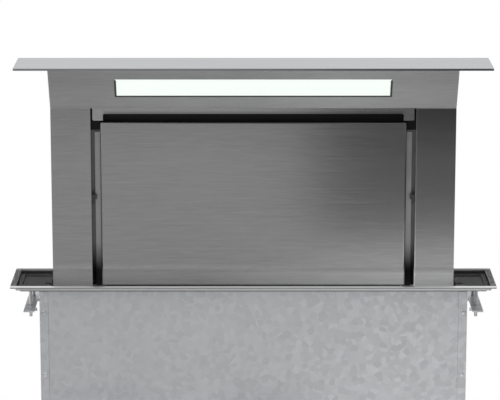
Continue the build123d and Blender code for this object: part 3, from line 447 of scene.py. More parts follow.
@dataclass(frozen=True)
class OpalLamp(Finish):
    """Opal plastic lit evenly from behind."""

    glow: Triple
    strength: float
    roughness: float = 0.35
    frost: float = 600.0
    frosting: Span = (0.98, 1.0)
    relief: Span = (0.05, 0.0001)

    def paint(self, graph: Graph) -> None:
        """Adds frost and light.

        Args:
            graph: The material's empty graph.
        """
        frost = graph.noise(EVEN, self.frost)
        graph.surface({
            "Base Color": graph.tint(self.colour, graph.spread(frost, *self.frosting)),
            "Roughness": self.roughness,
            "Emission Color": (*self.glow, 1.0),
            "Emission Strength": self.strength,
            "Normal": graph.bump(frost, *self.relief),
        })


@dataclass(frozen=True)
class FloorPaint(Finish):
    """Matt pale paint, faintly mottled."""

    roughness: float = 0.9
    mottle: float = 5.0
    mottling: Span = (0.985, 1.0)

    def paint(self, graph: Graph) -> None:
        """Adds the mottle."""
        tone = graph.spread(graph.noise(EVEN, self.mottle), *self.mottling)
        graph.surface({"Base Color": graph.tint(self.colour, tone), "Roughness": self.roughness})


class Finishes:
    """Every material of the vent, made once."""

    def __init__(self) -> None:
        """Builds the materials."""
        steel, gloss = (0.488, 0.492, 0.488), 0.21
        panel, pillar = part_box("suction_panel")[1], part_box("pillar_right")[0]

        # Painted light low on the front sheets, growing to the right, where they are also less of a metal.
        foot = Zone(Axis.Z, 0.010, 0.029, satin=0.62, lean=1.72)
        # Painted shade high on the front sheets, under the head.
        brim_shade = Zone(Axis.Z, 0.22, 0.325, far=0.84)
        # Painted shade at the top of the right pillar.
        lintel_shade = Zone(Axis.Z, 0.235, 0.325, far=0.55)
        # Painted highlight along the right pillar's inner edge.
        edge_highlight = Zone(Axis.X, pillar.x + 0.0015, pillar.x + 0.002, near=1.55)
        # Painted shade over the panel's top bend.
        fold = Zone(Axis.Z, panel.z - 0.0029, panel.z - 0.0019, far=0.24)
        # Painted shade along the panel's sides.
        side = Zone(Axis.X, panel.x - 0.0022, panel.x - 0.0014, far=0.3, mirrored=True)
        # Painted shade round the baffle's slot.
        slot = (Zone(Axis.Z, 0.3135, 0.3205, near=0.5), Zone(Axis.X, 0.272, 0.281, near=0.5, mirrored=True))
        # Copies of the brushed steel that differ only by the painted light and shade of their zones.
        self.sheet = BrushedSheet("brushed steel", steel, gloss).material()
        self.front = BrushedSheet("brushed steel front", steel, gloss, zones=(foot, brim_shade)).material()
        # The right pillar's own copy, with painted shade at its top and a painted highlight on its inner
        # edge.
        self.right_front_light_and_shade = BrushedSheet("brushed steel right front", steel, gloss,
                                        zones=(foot, lintel_shade, edge_highlight)).material()
        self.panel = BrushedSheet("brushed steel panel", steel, gloss,
                                  zones=(foot, fold, brim_shade, side)).material()
        self.baffle = BrushedSheet("brushed steel baffle", (0.52, 0.52, 0.525), 0.24, corner=slot).material()

        # Painted reflection on the head: darker to the left, lighter to the right.
        right = Zone(Axis.X, -0.37, 0.06, near=0.78, far=1.18)
        # Painted shade at the head's right end.
        cheek_shade = Zone(Axis.X, 0.16, 0.37, far=0.75)
        # Painted light low on the head's face, fading to none at its top.
        lower_head_light = Zone(Axis.Z, 0.33, 0.385, near=1.36, far=0.99)
        # The head's colour is darker than the other sheet's, a painted reflection as well.
        self.head = BrushedSheet("brushed steel head", (0.334, 0.338, 0.334), 0.3, dash=0.08,
                                 zones=(right, cheek_shade, lower_head_light)).material()
        self.plate = BrushedSheet("brushed steel plate", (0.383, 0.4, 0.411), 0.28, 0.12,
                                  band=0.35).material()
        self.lamp = OpalLamp("opal lamp", (0.72, 0.75, 0.73), (0.92, 1.0, 0.93), 0.365).material()

        tray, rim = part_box("worktop_frame")[1], 0.011
        self.tray = TraySheet("brushed steel tray", (0.6, 0.6, 0.605), tray.x - rim, tray.y - rim).material()
        self.galvanised = ZincSheet("galvanised sheet", (0.53, 0.54, 0.555)).material()
        self.coated = ZincSheet("zinc coated sheet", (0.6, 0.61, 0.625), 0.36, 0.6, crystal=700.0,
                                feather=0.0, contrast=0.04).material()

        front, back = (corner.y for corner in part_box("filter_frame"))
        # Painted shade inside the filters, behind their front rims.
        filter_core_shade = Zone(Axis.Y, front + 0.0024, front + 0.0028, far=0.25)
        # Painted shade on the frame behind its front.
        behind = Zone(Axis.Y, back - 0.002, back - 0.0015, far=0.5)
        shade = Zone(Axis.Z, 0.014, 0.068, near=0.08)
        # Painted shade over the frame's top, under the baffle.
        crown = Zone(Axis.Z, 0.2785, 0.2805, far=0.14)
        self.frame = PlainMetal("frame aluminium", (0.42, 0.42, 0.43), 0.4,
                                zones=(behind, shade, crown)).material()
        self.filter = PlainMetal("filter aluminium", (0.6, 0.6, 0.61), 0.38, zones=(filter_core_shade,)).material()
        self.aluminium = PlainMetal("mill aluminium", (0.66, 0.66, 0.67), 0.38).material()
        self.zinc = PlainMetal("zinc plated", (0.66, 0.67, 0.69), 0.3).material()
        self.ground = PlainMetal("ground steel", (0.55, 0.55, 0.56), 0.25).material()
        self.casting = PlainMetal("die casting", (0.45, 0.45, 0.47), 0.5, grain=500.0).material()
        self.bronze = PlainMetal("bronze", (0.6, 0.42, 0.2), 0.35).material()

        self.paint = Moulded("black paint", (0.05, 0.05, 0.055), 0.42).material()
        self.rubber = Moulded("belt rubber", (0.03, 0.03, 0.03), 0.8).material()
        self.foam = Moulded("seal foam", (0.07, 0.07, 0.07), 0.9, 700.0, (0.6, 0.0004)).material()
        self.plastic = Moulded("black plastic", (0.035, 0.035, 0.035), 0.5).material()
        self.wheel = Moulded("wheel plastic", (0.09, 0.09, 0.1), 0.45).material()


# --- pieces ---
class Workshop:
    """Turns bmeshes into pieces of the vent and dresses the frame's own nodes."""

    def __init__(self, nodes: dict[str, bpy.types.Object]) -> None:
        """Keeps the frame's objects by name."""
        self.nodes = nodes

    def dress(self, material: Material, edge: Edge, *names: str) -> None:
        """Gives nodes of the frame a material and softened edges.

        Args:
            material: The finish.
            edge: The width of the softened edges.
            *names: Their names.
        """
        for name in names:
            node = self.nodes[name]
            node.data.materials.clear()
            node.data.materials.append(material)
            if edge.value:
                weld = node.modifiers.new("join", "WELD")
                weld.merge_threshold = WELD
                soft = node.modifiers.new("soft edges", "BEVEL")
                soft.limit_method = "ANGLE"
                soft.angle_limit = SHARP
                soft.width = edge.value
                soft.segments = 2
                soft.harden_normals = True
            LOG.info("dressed %s", name)

    def piece(self, mesh: Mesh, name: str, material: Material, body: str, slot: str, *replaced: str) -> None:
        """Makes a finished piece of a bmesh, which is freed.

        Args:
            mesh: The piece's mesh, in place.
            name: The piece's name.
            material: The finish.
            body: The body that it rides on.
            slot: The record's material slot; not used.
            *replaced: Nodes that it stands for.
        """
        bmesh.ops.remove_doubles(mesh, verts=mesh.verts, dist=TOUCHING)
        bmesh.ops.recalc_face_normals(mesh, faces=mesh.faces)
        for face in mesh.faces:
            face.smooth = True
        for edge in mesh.edges:
            edge.smooth = len(edge.link_faces) == 2 and edge.calc_face_angle(0.0) < SHARP
        made = add_object(mesh, name, material)
        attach(made, body)
        if replaced:
            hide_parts(*replaced)
        LOG.info("made %s: %d faces", name, len(made.data.polygons))


def add_object(mesh: Mesh, name: str, material: Material) -> bpy.types.Object:
    """Puts a bmesh in the scene as an object, and frees it.

    Args:
        mesh: The mesh, in place.
        name: The object's name.
        material: The finish.

    Returns:
        The new object.
    """
    data = bpy.data.meshes.new(name)
    mesh.to_mesh(data)
    mesh.free()
    data.materials.append(material)
    made = bpy.data.objects.new(name, data)
    bpy.context.scene.collection.objects.link(made)
    return made


# --- forms ---
def facing(direction: Sequence[float], at: Sequence[float]) -> Matrix:
    """Gives a placement whose own Z points in a direction."""
    turn = Vector(direction).to_track_quat("Z", "Y").to_matrix().to_4x4()
    return Matrix.Translation(at) @ turn


def edges_of(verts: Iterable[bmesh.types.BMVert]) -> list[bmesh.types.BMEdge]:
    """Gives the edges that meet at vertices, each once."""
    return list({edge for vert in verts for edge in vert.link_edges})


def soften(mesh: Mesh, edges: list[bmesh.types.BMEdge], width: float) -> None:
    """Rounds edges to a width."""
    bmesh.ops.bevel(mesh, geom=edges, offset=width, segments=2, profile=0.5, affect="EDGES", material=-1)


def close_ends(mesh: Mesh) -> None:
    """Fills every opening of a mesh."""
    bmesh.ops.holes_fill(mesh, edges=[edge for edge in mesh.edges if edge.is_boundary])


def rim_frame(mesh: Mesh, place: Matrix, size: Span, rim: float, depth: float) -> None:
    """Adds a flat seal along three sides of a rectangle, open along its own +Y.

    Args:
        mesh: The mesh that it joins.
        place: Puts its plane and middle; it rises along its own Z.
        size: Its outer width and height.
        rim: The seal's own width.
        depth: Its thickness.
    """
    flat = place @ Matrix.Diagonal((*size, 1.0, 1.0))
    grid = bmesh.ops.create_grid(mesh, x_segments=1, y_segments=1, size=0.5, matrix=flat)
    face = grid["verts"][0].link_faces[0]
    ring = bmesh.ops.inset_region(mesh, faces=[face], thickness=rim, use_boundary=True,
                                  use_even_offset=True)["faces"]
    bmesh.ops.delete(mesh, geom=[face], context="FACES_ONLY")
    local = place.inverted()
    upper = max(ring, key=lambda f: (local @ f.calc_center_median()).y)
    sides = [f for f in ring if f is not upper]
    bmesh.ops.delete(mesh, geom=[upper], context="FACES")
    top = bmesh.ops.extrude_face_region(mesh, geom=sides)["geom"]
    out = place.to_3x3() @ Vector((0, 0, depth))
    bmesh.ops.translate(mesh, verts=[v for v in top if isinstance(v, bmesh.types.BMVert)], vec=out)


def block(mesh: Mesh, place: Matrix, size: Triple, edge: Edge) -> None:
    """Adds a box with softened edges, its middle at its placement."""
    made = bmesh.ops.create_cube(mesh, size=1.0, matrix=place @ Matrix.Diagonal((*size, 1.0)))["verts"]
    soften(mesh, edges_of(made), edge.value)


def cone(mesh: Mesh, place: Matrix, low: float, high: float, height: float,
         segments: int) -> list[bmesh.types.BMVert]:
    """Adds a closed cone or cylinder.

    Args:
        mesh: The mesh that it joins.
        place: Puts the surface it stands on; it rises along its own Z.
        low: Its lower radius.
        high: Its upper radius.
        height: Its height.
        segments: Faces round it.

    Returns:
        Its vertices.
    """
    middle = place @ Matrix.Translation((0, 0, height / 2))
    return bmesh.ops.create_cone(mesh, cap_ends=True, segments=segments, radius1=low, radius2=high,
                                 depth=height, matrix=middle)["verts"]


def hex_screw(mesh: Mesh, place: Matrix, radius: float, height: float) -> None:
    """Adds a hexagon head with a washer face.

    Args:
        mesh: The mesh that it joins.
        place: Puts the surface it sits on; it rises along its own Z.
        radius: Half the head's width over its corners.
        height: The head's height with its washer.
    """
    washer, wide, narrow, bevel = height * 0.25, radius * 1.12, radius * 1.06, radius * 0.14
    facets, sides = 20, 6
    cone(mesh, place, wide, narrow, washer, facets)
    head = cone(mesh, place @ Matrix.Translation((0, 0, washer)), radius, radius, height - washer, sides)
    up = place.to_3x3() @ Vector((0, 0, 1))
    crown = max(v.co.dot(up) for v in head) - TOUCHING
    soften(mesh, [e for e in edges_of(head) if all(v.co.dot(up) > crown for v in e.verts)], bevel)


def socket_screw(mesh: Mesh, place: Matrix, radius: float, height: float) -> None:
    """Adds a low domed head with a round socket.

    Args:
        mesh: The mesh that it joins.
        place: Puts the surface it sits on; it rises along its own Z.
        radius: The head's radius.
        height: Its height.
    """
    slope, fall, land, wall, deep = radius * 0.3, height * 0.3, radius * 0.28, radius * 0.02, height * 0.5
    facets = 24
    head = cone(mesh, place, radius, radius, height, facets)
    up = (place.to_3x3() @ Vector((0, 0, 1))).normalized()
    crown = max(v.co.dot(up) for v in head) - TOUCHING
    faces = {f for v in head for f in v.link_faces}
    top = next(f for f in faces if all(v.co.dot(up) > crown for v in f.verts))
    bmesh.ops.inset_region(mesh, faces=[top], thickness=slope, use_even_offset=True)
    outer = [v for v in head if v.co.dot(up) > crown and v not in top.verts]
    bmesh.ops.translate(mesh, verts=outer, vec=-up * fall)
    bmesh.ops.inset_region(mesh, faces=[top], thickness=land, use_even_offset=True)
    bmesh.ops.inset_region(mesh, faces=[top], thickness=wall, depth=-deep)


def turned(mesh: Mesh, place: Matrix, profile: Sequence[Span], segments: int) -> None:
    """Adds a turned form.

    Args:
        mesh: The mesh that it joins.
        place: Puts its axis, which is its own Z.
        profile: Radii with their heights, from end to end.
        segments: Faces round the form.
    """
    points = [mesh.verts.new(place @ Vector((radius, 0.0, height))) for radius, height in profile]
    edges = [mesh.edges.new(pair) for pair in zip(points, points[1:])]
    axis = place.to_3x3() @ Vector((0, 0, 1))
    bmesh.ops.spin(mesh, geom=points + edges, cent=place.translation, axis=axis, angle=math.tau,
                   steps=segments, use_merge=True, use_normal_flip=False)


# --- studio ---
@dataclass(frozen=True)
class SoftLamp:
    """A soft rectangular lamp, with the point that it faces and its power in watts."""

    name: str
    place: Triple
    aim: Triple
    width: float
    height: float
    power: float

    def hang(self) -> None:
        """Hangs the lamp, out of the camera's sight."""
        data = bpy.data.lights.new(self.name, "AREA")
        data.shape = "RECTANGLE"
        data.size, data.size_y, data.energy = self.width, self.height, self.power
        lamp = bpy.data.objects.new(self.name, data)
        bpy.context.scene.collection.objects.link(lamp)
        lamp.location = self.place
        lamp.rotation_euler = (Vector(self.aim) - Vector(self.place)).to_track_quat("-Z", "Y").to_euler()
        lamp.visible_camera = False


@dataclass
class Studio:
    """Camera, floor, world and lamps.

    The world that metal mirrors grows lighter along `uphill`, by `tones` over the stretch `rising`, and over
    the stretch `horizon` it rises to at least the lightness `sky`.
    """

    eye: Triple = (-0.0083, -4.6, 1.198)
    pitch: float = -12.81
    yaw: float = -0.026
    lens: float = 182.5
    sensor: float = 36.0
    sight: float = 60.0
    floor_z: float = -0.7165
    floor_r: float = 1.15
    floor_facets: int = 128
    floor_paint: Finish = FloorPaint("pale floor", (0.86, 0.86, 0.86))
    backdrop: float = 1.0
    ambient: float = 0.8
    uphill: Triple = (-0.25, 0.65, 0.75)
    rising: Span = (-0.75, 0.45)
    tones: Span = (0.08, 1.0)
    sky: float = 0.95
    horizon: Span = (0.03, 0.3)
    lamps: tuple[SoftLamp, ...] = (
        SoftLamp("key", (-1.6, -1.8, 2.6), (0.0, 0.0, 0.0), 1.8, 1.8, 26.0),
        SoftLamp("front left", (-0.525, -1.3, -0.225), (-0.525, 0.0, -0.225), 1.35, 1.55, 2.15),
        SoftLamp("front right", (0.65, -1.3, -0.72), (0.65, 0.0, -0.72), 1.3, 0.88, 3.1),
    )

    def camera(self) -> None:
        """Sets the camera at the photograph's viewing angle."""
        data = bpy.data.cameras.new("camera")
        data.lens, data.sensor_width, data.clip_end = self.lens, self.sensor, self.sight
        camera = bpy.data.objects.new("camera", data)
        bpy.context.scene.collection.objects.link(camera)
        camera.location = self.eye
        camera.rotation_euler = (math.radians(90 + self.pitch), 0.0, math.radians(self.yaw))
        bpy.context.scene.camera = camera

    def floor(self) -> None:
        """Lays a plain pale floor under the shaft."""
        mesh = bmesh.new()
        bmesh.ops.create_circle(mesh, cap_ends=True, segments=self.floor_facets, radius=self.floor_r)
        bmesh.ops.translate(mesh, verts=mesh.verts, vec=(0, 0, self.floor_z))
        add_object(mesh, "floor", self.floor_paint.material())

    def world(self) -> None:
        """Lights the scene evenly: white to the camera, and greyer low in front for metal."""
        world = bpy.data.worlds.new("studio")
        bpy.context.scene.world = world
        world.use_nodes = True
        graph = Graph(world.node_tree)
        way = graph.add("ShaderNodeTexCoord").outputs["Generated"]
        rise = graph.add("ShaderNodeVectorMath", {0: way, 1: self.uphill}, operation="DOT_PRODUCT")
        tone = graph.spread(rise.outputs["Value"], *self.tones, *self.rising, interpolation_type="SMOOTHSTEP")
        up = graph.add("ShaderNodeSeparateXYZ", {0: way}).outputs[Axis.Z.value]
        tone = graph.math("MAXIMUM", tone, graph.spread(up, 0.0, self.sky, *self.horizon))
        path = graph.add("ShaderNodeLightPath").outputs
        mirrored = graph.math("MAXIMUM", path["Is Glossy Ray"], path["Is Transmission Ray"])
        soft = graph.mix(mirrored, self.ambient, tone)
        strength = graph.mix(path["Is Camera Ray"], soft, self.backdrop)
        shade = graph.add("ShaderNodeBackground", {"Color": (1.0, 1.0, 1.0, 1.0), "Strength": strength})
        graph.add("ShaderNodeOutputWorld", {"Surface": shade.outputs[0]})

    def build(self) -> None:
        """Sets up the whole studio."""
        bpy.context.scene.view_settings.view_transform = "Standard"
        self.camera()
        self.floor()
        self.world()
        for lamp in self.lamps:
            lamp.hang()
        LOG.info("studio ready")


# --- the vent ---
@dataclass
class Assembly:
    """A sub-assembly of the vent, with the workshop and the finishes that it uses."""

    shop: Workshop
    finishes: Finishes

    def build(self) -> None:
        """Dresses the sub-assembly's nodes and adds its pieces."""
        raise NotImplementedError


@dataclass
class Tray(Assembly):
    """The flush tray and its fixings."""

    def build(self) -> None:
        """Dresses the tray, its seal and the clamps under it."""
        dress, f = self.shop.dress, self.finishes
        dress(f.tray, Edge.SHEET, "worktop_frame")
        dress(f.foam, Edge.PLAIN, "frame_gasket")
        dress(f.galvanised, Edge.THIN, "worktop_clamps")
        dress(f.zinc, Edge.PLATED, "clamp_studs", "clamp_nuts")


@dataclass
class Head(Assembly):
    """The leaning head with its plate and lamp."""

    slope: Span = (0.053, -0.081)
    window: Span = (0.509, 0.044)
    drop: float = 0.046
    seal: float = 0.0032
    seal_t: float = 0.00084
    seal_sunk: float = 0.0006

    def lamp_place(self) -> Matrix:
        """Gives the placement of the lamp's window.

        Returns:
            The placement, with X across, Y up the slope and Z out of the head.
        """
        low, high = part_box("head_shell")
        down = Vector((0.0, *self.slope)).normalized()
        across = Vector((1, 0, 0))
        place = Matrix((across, -down, down.cross(across))).transposed().to_4x4()
        place.translation = Vector((0.0, low.y, high.z)) + down * self.drop
        return place

    def lamp_seal_and_shade(self) -> None:
        """Makes the dark seal that holds the diffuser in its window, open at the top; it also stands in for
        the shade in the window's recess.
        """
        mesh = bmesh.new()
        place = self.lamp_place() @ Matrix.Translation((0, 0, -self.seal_sunk))
        rim_frame(mesh, place, self.window, self.seal, self.seal_t)
        self.shop.piece(mesh, "lamp_seal_and_shade", self.finishes.plastic, "column", "black_plastic")

    def build(self) -> None:
        """Dresses the head and adds the lamp's dark seal, which also stands in for shade."""
        dress, f = self.shop.dress, self.finishes
        dress(f.plate, Edge.SHEET, "top_plate")
        dress(f.head, Edge.FOLDED, "head_shell")
        dress(f.lamp, Edge.PLAIN, "lamp_diffuser")
        dress(f.coated, Edge.PLAIN, "lamp_tray")
        self.lamp_seal_and_shade()


@dataclass
class Column(Assembly):
    """The rising column: pillars, sill, filters and suction panel."""

    rim: float = 0.012
    cell: Span = (0.0102, 0.0062)
    strand: float = 0.0007
    net_y: float = 0.0018
    net_t: float = 0.0005
    bow_r: float = 0.013
    bow_drop: float = 0.006
    bow_steps: int = 18
    wire: float = 0.0008
    wire_facets: int = 10

    def filter_net(self, side: Side) -> None:
        """Makes the expanded metal net on one filter's front.

        Args:
            side: Which filter.
        """
        name = side.name.lower()
        low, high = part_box(f"grease_filter_{name}")
        middle = (low + high) / 2
        width, height = high.x - low.x - 2 * self.rim, high.z - low.z - 2 * self.rim
        front = Matrix.Translation((middle.x, low.y + self.net_y, middle.z))
        upright = front @ Matrix.Rotation(math.pi / 2, 4, "X")
        mesh = bmesh.new()
        made = bmesh.ops.create_grid(mesh, x_segments=round(width / self.cell[0]),
                                     y_segments=round(height / self.cell[1]), size=0.5,
                                     matrix=upright @ Matrix.Diagonal((width, height, 1.0, 1.0)))["verts"]
        inner = [e for e in edges_of(made) if len(e.link_faces) == 2]
        bmesh.ops.poke(mesh, faces=mesh.faces[:])
        bmesh.ops.dissolve_edges(mesh, edges=inner)
        cells = mesh.faces[:]
        bmesh.ops.inset_individual(mesh, faces=cells, thickness=self.strand, use_even_offset=True)
        bmesh.ops.delete(mesh, geom=cells, context="FACES")
        bmesh.ops.solidify(mesh, geom=mesh.faces[:], thickness=self.net_t)
        self.shop.piece(mesh, f"filter_net_{name}", self.finishes.aluminium, "column", "aluminium")

    def filter_bow(self, side: Side) -> None:
        """Makes the wire bow that one filter is pulled out by.

        Args:
            side: Which filter.
        """
        name = side.name.lower()
        low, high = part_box(f"grease_filter_{name}")
        centre = Vector(((low.x + high.x) / 2, low.y - self.wire, high.z - self.bow_drop))
        foot = Matrix.Translation(centre + Vector((self.bow_r, 0, 0)))
        mesh = bmesh.new()
        ring = bmesh.ops.create_circle(mesh, segments=self.wire_facets, radius=self.wire,
                                       matrix=foot)["verts"]
        bmesh.ops.spin(mesh, geom=ring + edges_of(ring), cent=centre, axis=(0, 1, 0), angle=math.pi,
                       steps=self.bow_steps)
        close_ends(mesh)
        self.shop.piece(mesh, f"filter_bow_{name}", self.finishes.zinc, "column", "zinc")

    def build(self) -> None:
        """Dresses the column's sheets, filters and panel and adds the nets and bows."""
        dress, f = self.shop.dress, self.finishes
        dress(f.front, Edge.FOLDED, "pillar_left", "lower_front")
        dress(f.right_front_light_and_shade, Edge.FOLDED, "pillar_right")
        dress(f.sheet, Edge.FOLDED, "column_back", "column_brace")
        dress(f.baffle, Edge.SMALL, "intake_baffle")
        dress(f.panel, Edge.THIN, "suction_panel")
        dress(f.ground, Edge.PLAIN, "panel_hinge_pins")
        dress(f.frame, Edge.THIN, "filter_frame")
        dress(f.filter, Edge.THIN, "grease_filter_left", "grease_filter_right")
        dress(f.plastic, Edge.SMALL, "panel_catches", "guide_shoes")
        dress(f.bronze, Edge.SMALL, "lead_nuts")
        for side in Side:
            self.filter_net(side)
            self.filter_bow(side)


@dataclass
class Shaft(Assembly):
    """The sheet shaft below the tray, with its rails and brackets."""

    screws: int = 6
    screw_r: float = 0.0045
    screw_h: float = 0.003
    flat: float = 0.87

    def side_screws(self) -> None:
        """Makes the flanged hexagon screws through the sides' folds, in place of the plain heads."""
        low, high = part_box("housing_screws")
        x, inset = high.x - self.screw_r, self.screw_r * self.flat
        rise = (high.z - low.z - 2 * inset) / (self.screws - 1)
        mesh = bmesh.new()
        for side in Side:
            for n in range(self.screws):
                for out, y in ((-1, low.y + self.screw_h), (1, high.y - self.screw_h)):
                    place = facing((0, out, 0), (side.value * x, y, low.z + inset + rise * n))
                    hex_screw(mesh, place, self.screw_r, self.screw_h)
        self.shop.piece(mesh, "side_screws", self.finishes.zinc, "shaft", "zinc", "housing_screws")

    def build(self) -> None:
        """Dresses the walls, rails and brackets and adds the screws."""
        dress, f = self.shop.dress, self.finishes
        dress(f.galvanised, Edge.SHEET, "housing_back", "housing_front", "housing_side_left",
              "housing_side_right", "housing_floor", "support_bracket_left", "support_bracket_right")
        dress(f.aluminium, Edge.THIN, "guide_rail_left", "guide_rail_right")
        dress(f.plastic, Edge.THIN, "limit_switches")
        self.side_screws()


@dataclass
class Lift(Assembly):
    """The lifting screws and what drives them.

    A start's cross-section goes from the root, 0, to the crest, 1, by the shares in `lobe`.
    """

    journal: float = 0.005
    facets: int = 32
    crest: float = 0.007
    root: float = 0.0056
    lobe: tuple[float, ...] = (1.0, 1.0, 1.0, 0.5, 0.0, 0.0, 0.0, 0.5)
    starts: int = 4
    lead: float = 0.016
    rise: float = 0.001
    gap: float = 0.0003

    def thread(self, side: Side) -> None:
        """Makes one lifting screw with its four-start thread.

        Args:
            side: Which screw.
        """
        name = f"screw_{side.name.lower()}"
        low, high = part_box(f"lead_{name}")
        middle = (low + high) / 2
        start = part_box("screw_bearings")[1].z + self.gap
        length = high.z - start
        steps = round(length / self.rise)
        mesh = bmesh.new()
        ring = bmesh.ops.create_circle(mesh, segments=self.starts * len(self.lobe), radius=1.0)["verts"]
        for n, vert in enumerate(ring):
            radius = self.root + (self.crest - self.root) * self.lobe[n % len(self.lobe)]
            vert.co = Vector((middle.x + vert.co.x * radius, middle.y + vert.co.y * radius, start))
        bmesh.ops.spin(mesh, geom=ring + edges_of(ring), cent=middle, axis=(0, 0, 1), steps=steps,
                       angle=math.tau * length / self.lead, dvec=(0, 0, length / steps))
        close_ends(mesh)
        foot = Matrix.Translation((middle.x, middle.y, low.z))
        cone(mesh, foot, self.journal, self.journal, start - low.z, self.facets)
        self.shop.piece(mesh, f"threaded_{name}", self.finishes.ground, name, "ground_steel", f"lead_{name}")

    def build(self) -> None:
        """Dresses the drive and makes the screws' threads."""
        dress, f = self.shop.dress, self.finishes
        dress(f.ground, Edge.PLAIN, "screw_bearings")
        dress(f.aluminium, Edge.PLAIN, "screw_pulley_left", "screw_pulley_right", "motor_pulley")
        dress(f.rubber, Edge.PLAIN, "sync_belt", "motor_belt")
        dress(f.paint, Edge.PAINTED, "lift_motor")
        dress(f.casting, Edge.CAST, "lift_gearbox")
        dress(f.coated, Edge.SHEET, "drive_cover")
        for side in Side:
            self.thread(side)


@dataclass
class Motor(Assembly):
    """The blower's motor: a ribbed can on screwed feet, with a ledge, a vented `well` and a pitted boss."""

    can: float = 0.058
    corner: float = 0.006
    chamfer: float = 0.0018
    ledge: float = 0.049
    well: Triple = (0.0478, 0.044, 0.0215)
    well_deep: float = 0.002
    boss: float = 0.0195
    pit: Span = (0.014, 0.0125)
    pit_deep: float = 0.0012
    facets: int = 48
    vents: int = 24
    vent_near: float = 0.001
    vent_rim: float = 0.0005
    vent_taper: float = 0.0002
    vent_deep: float = 0.004
    ribs: int = 16
    rib: Span = (0.004, 0.003)
    rib_out: float = 0.001
    rib_short: float = 0.014
    feet: int = 4
    foot: Triple = (0.02, 0.016, 0.004)
    foot_out: float = 0.0067
    screw_out: float = 0.0105
    screw_r: float = 0.004
    screw_h: float = 0.003

    def outline(self, length: float) -> list[Span]:
        """Gives the can's profile, from its middle at the shaft to its middle at the free end.

        Args:
            length: The can's length.

        Returns:
            Radii with their heights.
        """
        outer, middle, inner = self.well
        floor, pit = length - self.well_deep, length - self.pit_deep
        return [(0.0, 0.0), (self.can, 0.0), (self.can, length - self.corner),
                (self.can - self.chamfer, length - self.chamfer), (self.can - self.corner, length),
                (self.ledge, length), (outer, floor), (middle, floor), (inner, floor),
                (self.boss, length), (self.pit[0], length), (self.pit[1], pit), (0.0, pit)]

    def cut_vents(self, mesh: Mesh, floor: Vector) -> None:
        """Sinks the vents into the well.

        Args:
            mesh: The can's mesh.
            floor: The middle of the well's floor.
        """
        bmesh.ops.remove_doubles(mesh, verts=mesh.verts, dist=TOUCHING)
        bmesh.ops.recalc_face_normals(mesh, faces=mesh.faces)
        middle = (self.well[1] + self.well[2]) / 2
        way = {face: face.calc_center_median() - floor for face in mesh.faces}
        disc = [face for face in mesh.faces if abs(way[face].length - middle) < self.vent_near]
        disc.sort(key=lambda face: math.atan2(way[face].z, way[face].x))
        slots = disc[::len(disc) // self.vents]
        bmesh.ops.inset_individual(mesh, faces=slots, thickness=self.vent_rim, use_even_offset=True)
        bmesh.ops.inset_individual(mesh, faces=slots, thickness=self.vent_taper, depth=-self.vent_deep,
                                   use_even_offset=True)

    def build(self) -> None:
        """Makes the motor and its screws."""
        low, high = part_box("blower_motor")
        length = high.y - low.y
        centre = Vector(((low.x + high.x) / 2, high.y, (low.z + high.z) / 2))
        place = facing(FORWARD, centre)
        mesh, screws = bmesh.new(), bmesh.new()
        turned(mesh, place, self.outline(length), self.facets)
        self.cut_vents(mesh, Vector((centre.x, low.y + self.well_deep, centre.z)))
        for n in range(self.ribs):
            turn = place @ Matrix.Rotation(math.tau * n / self.ribs, 4, "Z")
            at = turn @ Matrix.Translation((self.can + self.rib_out, 0.0, length / 2))
            block(mesh, at, (*self.rib, length - self.rib_short), Edge.THIN)
        for n in range(self.feet):
            turn = place @ Matrix.Rotation(math.tau * (n + 0.5) / self.feet, 4, "Z")
            at = turn @ Matrix.Translation((self.can + self.foot_out, 0.0, self.foot[2] / 2))
            block(mesh, at, self.foot, Edge.SHEET)
            at = turn @ Matrix.Translation((self.can + self.screw_out, 0.0, self.foot[2]))
            hex_screw(screws, at, self.screw_r, self.screw_h)
        self.shop.piece(mesh, "motor_can", self.finishes.paint, "shaft", "motor_black", "blower_motor")
        self.shop.piece(screws, "motor_screws", self.finishes.zinc, "shaft", "zinc")


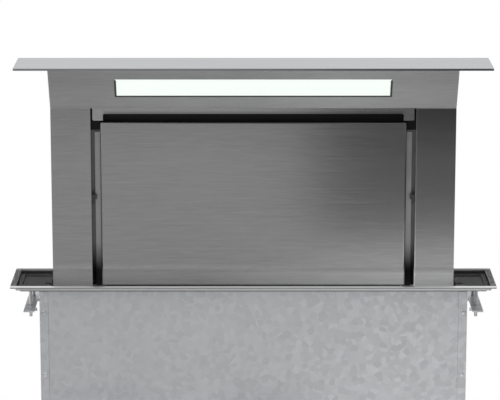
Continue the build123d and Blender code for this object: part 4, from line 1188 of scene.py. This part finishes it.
@dataclass
class Blower(Assembly):
    """The blower, its outlet and the control box.

    The scroll's rim is quarters, each wider by `growth`. In three, `arcs` gives the screws' angles.
    """

    lid_inset: float = 0.011
    lid_screw: Span = (0.0036, 0.002)
    rim_inset: float = 0.0052
    rim_screw: Span = (0.003, 0.0024)
    corner_z: float = 0.03
    growth: float = 0.014
    arcs: tuple[tuple[int, ...], ...] = ((195, 225, 255), (105, 135, 165), (10, 45, 80))
    beads_z: Span = (0.006, 0.03)
    bead_facets: int = 72
    bead: tuple[Span, ...] = ((-0.0004, -0.002), (0.0006, -0.0016), (0.0011, 0.0), (0.0006, 0.0016),
                              (-0.0004, 0.002), (-0.0004, -0.002))

    def lid_screws(self) -> None:
        """Makes the four screws of the control box's lid."""
        low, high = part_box("control_box_lid")
        mesh = bmesh.new()
        for x in (low.x + self.lid_inset, high.x - self.lid_inset):
            for z in (low.z + self.lid_inset, high.z - self.lid_inset):
                socket_screw(mesh, facing(FORWARD, (x, low.y, z)), *self.lid_screw)
        self.shop.piece(mesh, "lid_screws", self.finishes.zinc, "shaft", "zinc")

    def rim_screws(self) -> None:
        """Makes the screws along the rim of the scroll's front plate."""
        low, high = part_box("scroll_front_plate")
        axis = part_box("fan_shaft")
        hub = (axis[0] + axis[1]) / 2
        spots = []
        for n, ((right, up), angles) in enumerate(zip(((0, 0), (1, 0), (1, -1)), self.arcs)):
            radius = hub.x - low.x + n * self.growth - self.rim_inset
            for turn in map(math.radians, angles):
                spots.append((hub.x + right * self.growth + math.cos(turn) * radius, low.y,
                              hub.z + up * self.growth + math.sin(turn) * radius))
        spots.append((high.x - self.rim_inset, low.y, low.z + self.corner_z))
        mesh = bmesh.new()
        for spot in spots:
            hex_screw(mesh, facing(FORWARD, spot), *self.rim_screw)
        self.shop.piece(mesh, "rim_screws", self.finishes.zinc, "shaft", "zinc")

    def spigot_beads(self) -> None:
        """Makes the two raised beads round the spigot that a duct is clamped over."""
        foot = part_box("outlet_collar")[0].z
        low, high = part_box("damper_pin")
        radius = (high.y - low.y) / 2
        centre = (low + high) / 2
        profile = [(radius + out, up) for out, up in self.bead]
        mesh = bmesh.new()
        for z in self.beads_z:
            place = Matrix.Translation((centre.x, centre.y, foot + z))
            turned(mesh, place, profile, self.bead_facets)
        self.shop.piece(mesh, "spigot_beads", self.finishes.plastic, "shaft", "black_plastic")

    def build(self) -> None:
        """Dresses the blower and the control box and adds their screws and beads."""
        dress, f = self.shop.dress, self.finishes
        dress(f.galvanised, Edge.SHEET, "blower_scroll", "scroll_front_plate")
        dress(f.coated, Edge.SHEET, "control_box", "control_box_lid")
        dress(f.plastic, Edge.SHEET, "outlet_collar", "blower_inlet_ring", "damper_flap_left",
              "damper_flap_right", "cable_gland")
        dress(f.wheel, Edge.PLAIN, "impeller")
        dress(f.ground, Edge.PLAIN, "fan_shaft", "damper_pin")
        self.lid_screws()
        self.rim_screws()
        self.spigot_beads()


def main() -> None:
    """Builds the studio and every sub-assembly in order."""
    logging.basicConfig(level=logging.INFO, format="%(name)s: %(message)s")
    shop, finishes = Workshop(frame["nodes"]), Finishes()
    Studio().build()
    for assembly in (Tray, Head, Column, Shaft, Lift, Motor, Blower):
        assembly(shop, finishes).build()


if __name__ == "__main__":
    main()
